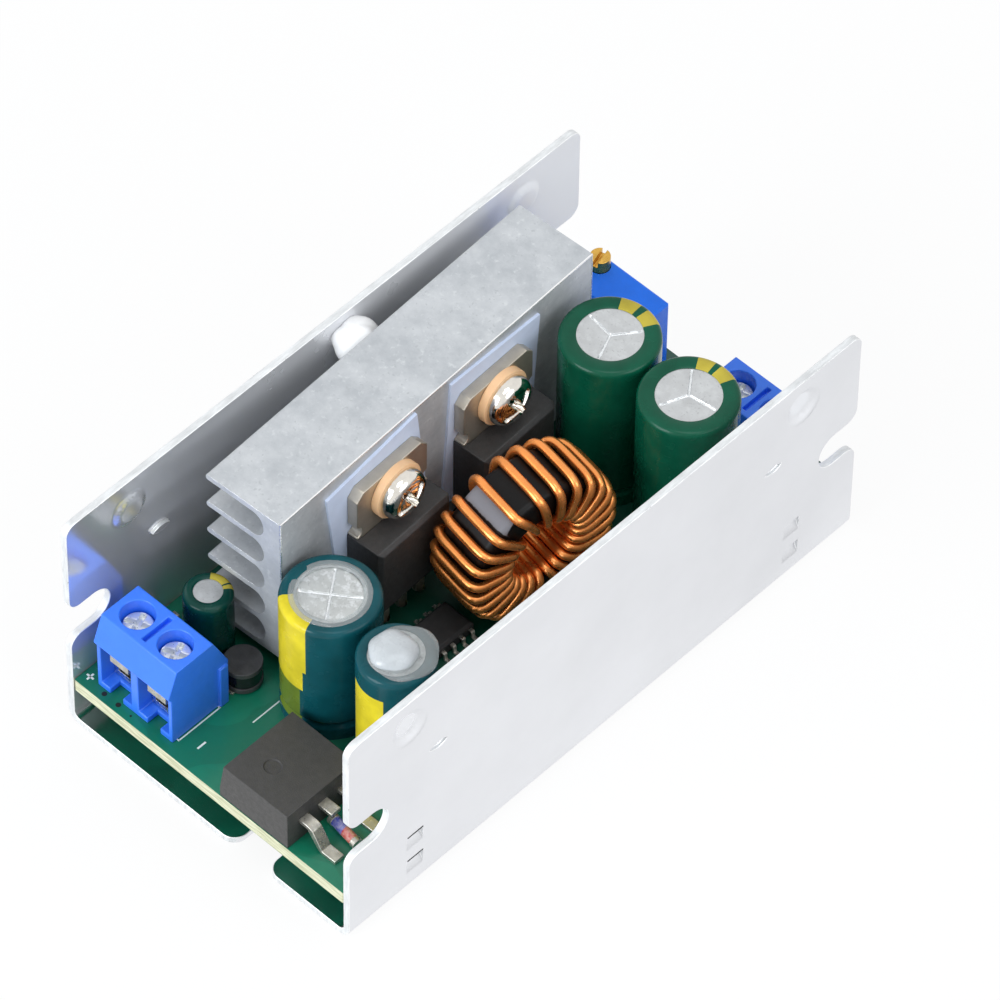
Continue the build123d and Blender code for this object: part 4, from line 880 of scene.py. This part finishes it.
def fit_core(points):
    """The core's outside drawn in to its shown radius, in proportion from the hole's wall, and set down."""
    turn = np.array(choke_turn())
    flat = (points - np.array(CHOKE_MADE)) @ turn
    radius = np.hypot(flat[:, 1], flat[:, 2])
    share = (CORE_SHOWN - CORE_INNER) / (CORE_MADE - CORE_INNER)
    scale = (CORE_INNER + (radius - CORE_INNER) * share) / np.maximum(radius, 0.1)
    flat[:, 1:] *= scale[:, None]
    return flat @ turn.T + np.array(CHOKE_CENTRE)


def section_walk(shares):
    """Points of a rounded square of half size 1 at shares of its way round, evenly by length: a rounded
    cosine and a rounded sine, a high power making it squarer."""
    phase = np.linspace(0.0, 2 * math.pi, 1441)
    power = 2.0 / SECTION_POWER
    out = np.sign(np.cos(phase)) * np.abs(np.cos(phase)) ** power
    front = np.sign(np.sin(phase)) * np.abs(np.sin(phase)) ** power
    step = np.hypot(np.diff(out) * SECTION_RISE, np.diff(front) * SECTION_HALF)
    walked = np.concatenate(((0.0,), np.cumsum(step))) / step.sum()
    shares = np.mod(shares, 1.0)
    return np.interp(shares, walked, out), np.interp(shares, walked, front)


def bend_points(start, corner, end, count=10):
    """A quadratic curve from start to end that leans to the corner."""
    t = np.linspace(0.0, 1.0, count)[:, None]
    return (1 - t) ** 2 * start + 2 * t * (1 - t) * corner + t ** 2 * end


def on_ring(x, radius, degrees):
    """A point in the ring's frame."""
    angle = np.radians(degrees)
    return np.stack(np.broadcast_arrays(x, radius * np.cos(angle), radius * np.sin(angle)), -1)


def winding_path():
    """The wire's line, in millimetres in the ring's frame, and the corners above its two leads: a walk round
    the core's section for each turn. The angle round the ring rests on the outside and the inside and changes
    across the faces, and the inner angles spread from the middle one so that they fill the hole's wall."""
    angles = FIRST_TURN + np.concatenate(((0.0,), np.cumsum(TURN_PITCHES)))
    middles = np.append((angles[:-1] + angles[1:]) / 2, angles[-1] + TURN_PITCHES[-1] / 2)
    turns = len(angles) - 1
    inner = angles.mean() + (angles - angles.mean()) * INNER_SPREAD
    step = np.linspace(-0.1, turns - 0.2, turns * TURN_STEPS)
    out, front = section_walk(step)
    knots = [-1.0]
    stops = [middles[0]]
    for turn in range(turns):
        knots += [turn, turn + 0.14, turn + 0.36, turn + 0.64, turn + 0.86]
        stops += [middles[turn], middles[turn], inner[turn + 1], inner[turn + 1], middles[turn + 1]]
    angle = np.interp(step, knots, stops)
    ring = on_ring(-SECTION_HALF * front, SECTION_MIDDLE + SECTION_RISE * out, angle)
    outer = SECTION_MIDDLE + SECTION_RISE
    return ring, on_ring(SECTION_HALF, outer, middles[0]), on_ring(SECTION_HALF, outer, middles[turns])


def side_of(path):
    """A direction that stays across the wire: from each point along the ring."""
    side = np.stack((np.zeros(len(path)), -path[:, 2], path[:, 1]), -1)
    return side / np.linalg.norm(side, axis=1, keepdims=True)


class CONVERTER_OT_choke(bpy.types.Operator):
    """Wind the choke and dress its core"""

    bl_idname = "converter.choke"
    bl_label = "Choke"

    def execute(self, context):
        dressed("choke_core", "core", reshape=fit_core)
        ring, first, last = winding_path()
        turn = np.array(choke_turn()).T

        def placed(points):
            return (points @ turn + np.array(CHOKE_CENTRE)) * MM

        path = placed(ring)
        side = side_of(ring) @ turn
        ends = []
        for corner, near in ((placed(first), path[0]), (placed(last), path[-1])):
            above = corner - np.array((0.0, 0.0, 1.0 * MM))
            tip = np.array((corner[0], corner[1], LEAD_TIP * MM))
            straight = tip + (above - tip) * np.linspace(0.0, 1.0, 6)[:, None]
            ends.append(np.concatenate((straight, bend_points(above, corner, near)[1:-1])))
        count = len(ends[0])
        path = np.concatenate((ends[0], path, ends[1][::-1]))
        side = np.concatenate((np.repeat(side[:1], count, 0), side, np.repeat(side[-1:], count, 0)))
        points, faces = tube(path, side, context.scene.converter_sizes.wire / 2, 14)
        winding = new_piece("choke_wire", points, faces, [palette["copper"]], "module", crease=60.0)
        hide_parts("choke_winding")
        return {"FINISHED"}


TERMINAL_HEAD = {"radius": 1.55, "under": 14.35, "top": 15.45, "dome": 0.12, "edge": 0.2}
TERMINAL_CROSS = (2.3, 0.5, 0.6)
TERMINAL_TURN = 20.0
TERMINAL_SHAFT = 1.25
TERMINAL_SCREWS = {
    "input_terminal_screw_1": (-13.54, -30.5),
    "input_terminal_screw_2": (-8.46, -30.5),
    "output_terminal_screw_1": (12.94, 30.1),
    "output_terminal_screw_2": (7.86, 30.1),
}


class CONVERTER_OT_terminals(bpy.types.Operator):
    """Dress the two screw terminals and turn their screws"""

    bl_idname = "converter.terminals"
    bl_label = "Terminals"

    def execute(self, context):
        for name in ("input", "output"):
            dressed(name + "_terminal_housing", "terminal", bevel=0.12)
            dressed(name + "_terminal_contacts", "tinned", bevel=0.05)
            for pole in "12":
                dressed(f"{name}_terminal_clamp_{pole}", "clamp", bevel=0.08)
                node = f"{name}_terminal_screw_{pole}"
                x, y = TERMINAL_SCREWS[node]
                shaft = (TERMINAL_SHAFT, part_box(node)[0][2] / MM)
                centre = (x * MM, y * MM, 0.0)
                table = head_table(centre, TERMINAL_CROSS, TERMINAL_TURN, shaft, **TERMINAL_HEAD)
                screw = joined(node + "_turned", [(*table, 0)], ["terminal_screw"], BODY_OF[node])
                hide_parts(node)
        return {"FINISHED"}


class CONVERTER_OT_trimmer(bpy.types.Operator):
    """Dress the trimmer"""

    bl_idname = "converter.trimmer"
    bl_label = "Trimmer"

    def execute(self, context):
        dressed("trimmer_body", "trimmer", bevel=0.08)
        dressed("trimmer_screw", "brass", bevel=0.06)
        carried("trimmer_pins", "tinned")
        return {"FINISHED"}


CRIMP_Z = 2.0
CRIMP_HALF = 0.7
CRIMP_DEPTH = 0.35
SLEEVE = 0.15
CAN_EDGE = 0.6
VENT_REACH = 0.62
VENT_HALF = 0.17
VENT_HIGHLIGHT_REACH = 0.1
TOP_SWELL = 0.05
# How far each capacitor's shown middle and radius lie from its node's: (X, Y, radius)
SHIFTS = {
    "output_capacitor_a": (-0.3, 0.05, -0.1),
    "output_capacitor_b": (-0.6, 0.1, -0.1),
    "input_capacitor_a": (-0.2, 0.25, -0.15),
    "input_capacitor_b": (-0.4, 0.0, -0.2),
    "supply_capacitor": (0.0, 0.0, 0.0),
}
# Vent arms and their turn, the sleeve's roll over the top as a share of the radius, the finishes, and the
# marks on the sleeve: (angle from, angle to, distance from the rim at the start, at the end, finish)
CAPACITORS = {
    "output_capacitor_a": (3, 52.5, 0.35, "sleeve_green", "can", (
        (60, 85, 0.0, 2.2, "sleeve_gold"), (93, 120, 0.0, 2.2, "sleeve_gold"),
    )),
    "output_capacitor_b": (3, 8.0, 0.35, "sleeve_green", "can", (
        (68, 92, 0.0, 2.2, "sleeve_gold"), (99, 123, 0.0, 2.2, "sleeve_gold"),
    )),
    "input_capacitor_a": (4, 36.0, 0.3, "sleeve_teal", "can_dull", (
        (226, 287, 0.0, 7.8, "sleeve_yellow"), (230, 282, 8.2, 10.8, "sleeve_yellow"),
        (234, 278, 10.8, 16.6, "sleeve_olive"),
    )),
    "input_capacitor_b": (4, 30.0, 0.3, "sleeve_teal", "can_dull", ((234, 296, 3.6, 15.5, "sleeve_yellow"),)),
    "supply_capacitor": (0, 0.0, 0.42, "sleeve_pine", "can", (
        (52, 66, 0.1, 1.5, "sleeve_gold"), (72, 128, 0.1, 1.5, "sleeve_gold"),
    )),
}


GLUE_FILM = ((3.15, 0.0), (3.2, 0.1), (3.45, 0.22), (3.75, 0.2), (4.0, 0.08), (4.05, -0.02))
GLUE_CLEAR_HALF = (3.3, 3.5, 0.55)
GLUE_DAB_HALF = (2.5, 2.4, 1.15)


def can_profile(radius, height):
    """The outline of a drawn can from its bottom centre to its top edge: wall, crimp groove, rounded edge."""
    bend = np.linspace(-1.0, 1.0, 13)
    dips = CRIMP_DEPTH * (0.5 + 0.5 * np.cos(math.pi * bend))
    wall = [(radius - dip, CRIMP_Z + CRIMP_HALF * b) for dip, b in zip(dips, bend)]
    sides = [(radius, z) for z in np.linspace(CRIMP_Z + CRIMP_HALF + 0.3, height - CAN_EDGE - 0.1, 32)]
    return [(radius, 0.0), *wall, *sides, *quarter_round(radius - CAN_EDGE, height - CAN_EDGE, CAN_EDGE, 7)]


class CONVERTER_OT_capacitors(bpy.types.Operator):
    """Make the five capacitors: cans with scored vents, and shrink sleeves with plain colour marks"""

    bl_idname = "converter.capacitors"
    bl_label = "Capacitors"

    def execute(self, context):
        depth = context.scene.converter_sizes.groove / MM
        for name, (arms, turn, lip, sleeve, metal, marks) in CAPACITORS.items():
            low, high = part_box(name + "_sleeve")
            radius = (high[0] - low[0]) / 2 / MM + SHIFTS[name][2]
            height = (high[2] - low[2]) / MM
            x, y, _ = self.top_of(name)
            centre = (x * MM, y * MM, low[2])
            self.can(name, centre, radius - SLEEVE, height - SLEEVE, arms, turn, depth, metal)
            self.sleeve(name, centre, radius, height, radius * (1 - lip), sleeve, marks)
            carried(name + "_leads", "tinned")
        self.glue()
        return {"FINISHED"}

    def can(self, name, centre, radius, top, arms, turn, depth, metal):
        """The can: its outline turned round, and a flat top of rings pressed in along the vent's arms, whose
        bottoms take a lighter finish as a painted highlight. The top swells a little between the arms."""
        outline = [(0.0, 0.0), *can_profile(radius, top)]
        outline += [((radius - CAN_EDGE) * (1 - r), top) for r in np.linspace(0.0, 1.0, 42)[1:]]
        reach = VENT_REACH * radius

        def relief(x, y, height):
            if not arms:
                return np.where(height > top - 0.001, TOP_SWELL * (1 - (np.hypot(x, y) / radius) ** 2), 0.0)
            distance = arm_distance(x, y, turn, reach, arms)
            swell = 0.8 * TOP_SWELL * smooth_step(distance, 0.1, 1.3)
            return np.where(height > top - 0.001, groove(distance, VENT_HALF, depth) + swell, 0.0)

        points, faces = turned_table(outline, centre, 168, relief)
        middle = (points[faces].mean(axis=1) - np.asarray(centre)) / MM
        lines = np.zeros(len(faces), dtype=np.int32)
        if arms:
            # Faces near an arm take the lighter finish: a painted highlight in the groove
            near = arm_distance(middle[:, 0], middle[:, 1], turn, reach, arms) < VENT_HIGHLIGHT_REACH
            lines[near & (middle[:, 2] > top - 0.5)] = 1
        materials = [palette[metal], palette["vent_highlight"]]
        can = new_piece(name + "_top", points, faces, materials, "module", lines, 40.0)
        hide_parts(name + "_can")

    def sleeve(self, name, centre, radius, height, window, finish, marks):
        """The sleeve: a closed thin section of the can's outline, rolled over its top edge, with an uneven
        rim. A mark covers the faces between two angles and two distances from the rim, out and down."""
        outer = can_profile(radius, height)
        inner = can_profile(radius - SLEEVE, height - SLEEVE)
        rim = [(window + 0.1, height), (window, height - SLEEVE / 2), (window + 0.1, height - SLEEVE)]
        outline = np.array([*outer, *rim, *inner[::-1]])
        columns = 180
        angle = (np.arange(columns) + 0.5) * 360.0 / columns
        ends = np.roll(outline, -1, axis=0)
        middle = (outline + ends) / 2
        down = np.maximum(middle[:, 0] - window, 0.0) * (middle[:, 1] > height - 0.01)
        past = (radius - window) + (height - middle[:, 1]) - 0.3
        down = np.where(middle[:, 1] > height - 0.01, down, past)
        outside = np.arange(len(outline)) < len(outer) + 1
        slots = np.zeros((len(outline), columns), dtype=np.int32)
        finishes = [finish]
        for mark_from, mark_to, start, end, colour in marks:
            if colour not in finishes:
                finishes.append(colour)
            rows = outside & (down >= start) & (down <= end)
            slots[rows[:, None] & ((angle > mark_from) & (angle < mark_to))[None, :]] = finishes.index(colour)

        def relief(x, y, z):
            around = np.arctan2(y, x)
            wave = 0.02 * np.sin(3 * around + radius) + 0.015 * np.sin(7 * around + height)
            return np.where(z > height - SLEEVE - 0.01, wave * 0.3, 0.0)

        points, faces = turned_table(outline, centre, columns, relief, close=True)
        materials = [palette[each] for each in finishes]
        sleeve = new_piece(name + "_shrink", points, faces, materials, "module", slots.reshape(-1), 50.0)
        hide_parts(name + "_sleeve")

    def glue(self):
        """An uneven film round one can's window, and a milky dab in clear glue on the other."""
        def uneven(x, y, height):
            around = np.arctan2(y, x)
            lumps = 0.35 + 0.5 * np.sin(2 * around - 1.2) + 0.35 * np.sin(5 * around + 0.5)
            return (height > -0.01) * height * (np.clip(lumps, 0.02, 1.0) - 1)

        ring_x, ring_y, ring_z = self.top_of("input_capacitor_a")
        dab_x, dab_y, dab_z = self.top_of("input_capacitor_b")
        ring = turned_table(GLUE_FILM, (ring_x * MM, ring_y * MM, ring_z * MM), 144, uneven, close=True)
        clear = lump((dab_x + 0.5, dab_y + 0.5, dab_z - 0.1), GLUE_CLEAR_HALF, wave=0.05, seed=2.0)
        dab = lump((dab_x - 0.25, dab_y - 0.1, dab_z + 0.1), GLUE_DAB_HALF, wave=0.05, seed=0.6)
        glue = joined(
            "capacitor_glue_dabs", [(*ring, 0), (*clear, 0), (*dab, 1)], ["glue", "glue_white"], "module",
        )
        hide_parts("capacitor_glue")

    def top_of(self, name):
        """The middle of a capacitor's top, in millimetres."""
        low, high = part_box(name + "_sleeve")
        x, y, _ = SHIFTS[name]
        return ((low[0] + high[0]) / 2 / MM + x, (low[1] + high[1]) / 2 / MM + y, high[2] / MM)


PACKAGE_MADE = (2.05, 10.65)
PACKAGE_SHOWN = (1.62, 10.68)
PACKAGE_TAB_END = 1.2
DIODE = (13.4, -29.9, -8.0)
DIODE_SHARE = 0.78


def fit_package(points):
    """The body stretched along X to its shown length."""
    moved = points.copy()
    share = (points[:, 0] - PACKAGE_MADE[0]) / (PACKAGE_MADE[1] - PACKAGE_MADE[0])
    moved[:, 0] = PACKAGE_SHOWN[0] + share * (PACKAGE_SHOWN[1] - PACKAGE_SHOWN[0])
    return moved


def fit_package_leads(points):
    """The tab shortened to its shown reach, and the feet pushed outwards by half a millimetre."""
    moved = points.copy()
    moved[:, 0] = np.maximum(points[:, 0], PACKAGE_TAB_END)
    moved[:, 0] += 0.5 * smooth_step(points[:, 0], 11.3, 12.3)
    return moved


def slim_diode(points):
    """The tube drawn in towards its own line and down onto the board."""
    x, y, turn = DIODE
    angle = math.radians(turn)
    across = -(points[:, 0] - x) * math.sin(angle) + (points[:, 1] - y) * math.cos(angle)
    moved = points.copy()
    moved[:, 0] += across * (1 - DIODE_SHARE) * math.sin(angle)
    moved[:, 1] -= across * (1 - DIODE_SHARE) * math.cos(angle)
    moved[:, 2] = BOARD_TOP / MM + (points[:, 2] - BOARD_TOP / MM) * DIODE_SHARE
    return moved


class CONVERTER_OT_small_parts(bpy.types.Operator):
    """Dress the flat package, drum inductor, controller chip, diode and chip parts"""

    bl_idname = "converter.small_parts"
    bl_label = "Small parts"

    def execute(self, context):
        dressed("power_package_body", "package_light", bevel=0.09, reshape=fit_package)
        dressed("power_package_leads", "tinned", bevel=0.06, reshape=fit_package_leads)
        dressed("drum_inductor_core", "drum", bevel=0.06)
        dressed("drum_inductor_coil", "coil")
        dressed("drum_inductor_feet", "tinned", bevel=0.04)
        dressed("controller_body", "package", bevel=0.05)
        dressed("controller_leads", "tinned", bevel=0.03)
        dressed("diode_glass", "diode", reshape=slim_diode)
        dressed("diode_ends", "tinned", bevel=0.05, reshape=slim_diode)
        dressed("chip_part_bodies", "ceramic", bevel=0.04)
        dressed("chip_part_ends", "tinned", bevel=0.06)
        return {"FINISHED"}


CAMERA_AZIMUTH = 43.654
CAMERA_ELEVATION = 51.716
CAMERA_ROLL = 0.592
CAMERA_DISTANCE = 0.81368
CAMERA_LENS = 304.2
CAMERA_SHIFT = (0.0363, 0.0441)
CAMERA_TARGET = (0.0, 0.0, 0.012)
FLOOR_HALF = 3.0
FLOOR_LOW = -0.0001
FLOOR_WHITE = 0.9
WORLD_STRENGTH = 0.62
LAMP_SIZE = 0.5
LAMP_COLOUR = (0.9, 0.95, 1.0)
LAMPS = (
    ("key", (-0.12, -0.7, 0.36), 4.0),
    ("side", (0.6, 0.05, 0.45), 1.6),
    ("fill", (0.15, -0.1, 0.9), 1.2),
)


class CONVERTER_OT_stage(bpy.types.Operator):
    """Set the floor, the white surroundings, the lamps and the camera"""

    bl_idname = "converter.stage"
    bl_label = "Stage"

    def execute(self, context):
        self.floor(context)
        self.world(context)
        self.lamps(context)
        self.camera(context)
        context.scene.view_settings.view_transform = "Standard"
        return {"FINISHED"}

    def floor(self, context):
        """A pale sheet under the tray, white to the camera apart from a soft shadow."""
        finish = Finish("floor sheet", Roughness=0.9)
        tree = finish.tree
        clouds = finish.noise(3.0)
        finish.colour(finish.ramp(clouds, ((0.3, (0.86, 0.86, 0.86, 1)), (0.7, (0.9, 0.9, 0.9, 1)))))
        glow = tree.nodes.new("ShaderNodeEmission")
        light = tree.nodes.new("ShaderNodeLightPath")
        seen = finish.combine("MAXIMUM", light.outputs["Is Camera Ray"], light.outputs["Is Glossy Ray"])
        seen = finish.combine("MAXIMUM", seen, light.outputs["Is Transmission Ray"])
        share = finish.combine("MULTIPLY", seen, FLOOR_WHITE)
        mix = tree.nodes.new("ShaderNodeMixShader")
        output = tree.nodes["Material Output"]
        finish.link(share, mix.inputs[0])
        finish.link(finish.shader.outputs["BSDF"], mix.inputs[1])
        finish.link(glow.outputs["Emission"], mix.inputs[2])
        finish.link(mix.outputs["Shader"], output.inputs["Surface"])
        mesh = bpy.data.meshes.new("floor")
        signs = ((-1, -1), (1, -1), (1, 1), (-1, 1))
        corners = [(x * FLOOR_HALF, y * FLOOR_HALF, FLOOR_LOW) for x, y in signs]
        mesh.from_pydata(corners, [], [(0, 1, 2, 3)])
        mesh.materials.append(finish.material)
        sheet = bpy.data.objects.new("floor", mesh)
        context.scene.collection.objects.link(sheet)

    def world(self, context):
        """Soft light from all round, seen as white by the camera and in reflections."""
        world = bpy.data.worlds.new("studio")
        context.scene.world = world
        world.use_nodes = True
        tree = world.node_tree
        back = tree.nodes["Background"]
        back.inputs["Color"].default_value = (1, 1, 1, 1)
        light = tree.nodes.new("ShaderNodeLightPath")
        first = tree.nodes.new("ShaderNodeMath")
        first.operation = "MAXIMUM"
        second = tree.nodes.new("ShaderNodeMath")
        second.operation = "MAXIMUM"
        strength = tree.nodes.new("ShaderNodeMapRange")
        strength.inputs["To Min"].default_value = WORLD_STRENGTH
        strength.inputs["To Max"].default_value = 1.0
        tree.links.new(light.outputs["Is Camera Ray"], first.inputs[0])
        tree.links.new(light.outputs["Is Glossy Ray"], first.inputs[1])
        tree.links.new(first.outputs["Value"], second.inputs[0])
        tree.links.new(light.outputs["Is Transmission Ray"], second.inputs[1])
        tree.links.new(second.outputs["Value"], strength.inputs["Value"])
        tree.links.new(strength.outputs["Result"], back.inputs["Strength"])

    def lamps(self, context):
        """A large soft key from the input end, a weaker one from the right and a fill from above."""
        for name, place, power in LAMPS:
            lamp = bpy.data.lights.new(name, "AREA")
            lamp.shape = "DISK"
            lamp.size = LAMP_SIZE
            lamp.energy = power
            lamp.color = LAMP_COLOUR
            holder = bpy.data.objects.new(name, lamp)
            holder.location = place
            aim = Vector(CAMERA_TARGET) - Vector(place)
            holder.rotation_euler = aim.to_track_quat("-Z", "Y").to_euler()
            context.scene.collection.objects.link(holder)

    def camera(self, context):
        """The photograph's view: direction from azimuth and elevation, then a small roll."""
        azimuth = math.radians(CAMERA_AZIMUTH)
        elevation = math.radians(CAMERA_ELEVATION)
        roll = math.radians(CAMERA_ROLL)
        level = Vector((math.sin(azimuth), -math.cos(azimuth), 0.0))
        back = level * math.cos(elevation) + Vector((0.0, 0.0, math.sin(elevation)))
        right = Vector((math.cos(azimuth), math.sin(azimuth), 0.0))
        up = back.cross(right)
        rolled = right * math.cos(roll) + up * math.sin(roll)
        raised = -right * math.sin(roll) + up * math.cos(roll)
        data = bpy.data.cameras.new("camera")
        data.lens = CAMERA_LENS
        data.sensor_width = 36.0
        data.shift_x, data.shift_y = CAMERA_SHIFT
        data.clip_start = 0.01
        camera = bpy.data.objects.new("camera", data)
        turn = Matrix((rolled, raised, back)).transposed().to_4x4()
        camera.matrix_world = Matrix.Translation(Vector(CAMERA_TARGET) + back * CAMERA_DISTANCE) @ turn
        context.scene.collection.objects.link(camera)
        context.scene.camera = camera


PIECES = (
    CONVERTER_OT_tray, CONVERTER_OT_board, CONVERTER_OT_heatsink, CONVERTER_OT_choke, CONVERTER_OT_terminals,
    CONVERTER_OT_trimmer, CONVERTER_OT_capacitors, CONVERTER_OT_small_parts, CONVERTER_OT_stage,
)


class CONVERTER_PT_looks(bpy.types.Panel):
    """Lists the steps that dress the module"""

    bl_idname = "CONVERTER_PT_looks"
    bl_label = "Converter"
    bl_space_type = "VIEW_3D"
    bl_region_type = "UI"
    bl_category = "Converter"

    def draw(self, context):
        column = self.layout.column()
        for group in (context.scene.converter_sizes, context.scene.converter_colours):
            for name in type(group).__annotations__:
                column.prop(group, name)
        for piece in PIECES:
            column.operator(piece.bl_idname)


CLASSES = (ConverterSizes, ConverterColours, *PIECES, CONVERTER_PT_looks)


def register():
    for item in CLASSES:
        bpy.utils.register_class(item)
    bpy.types.Scene.converter_sizes = bpy.props.PointerProperty(type=ConverterSizes)
    bpy.types.Scene.converter_colours = bpy.props.PointerProperty(type=ConverterColours)


def unregister():
    del bpy.types.Scene.converter_colours
    del bpy.types.Scene.converter_sizes
    for item in reversed(CLASSES):
        bpy.utils.unregister_class(item)


def main():
    register()
    for piece in PIECES:
        group, name = piece.bl_idname.split(".")
        getattr(getattr(bpy.ops, group), name)()


if __name__ == "__main__":
    main()
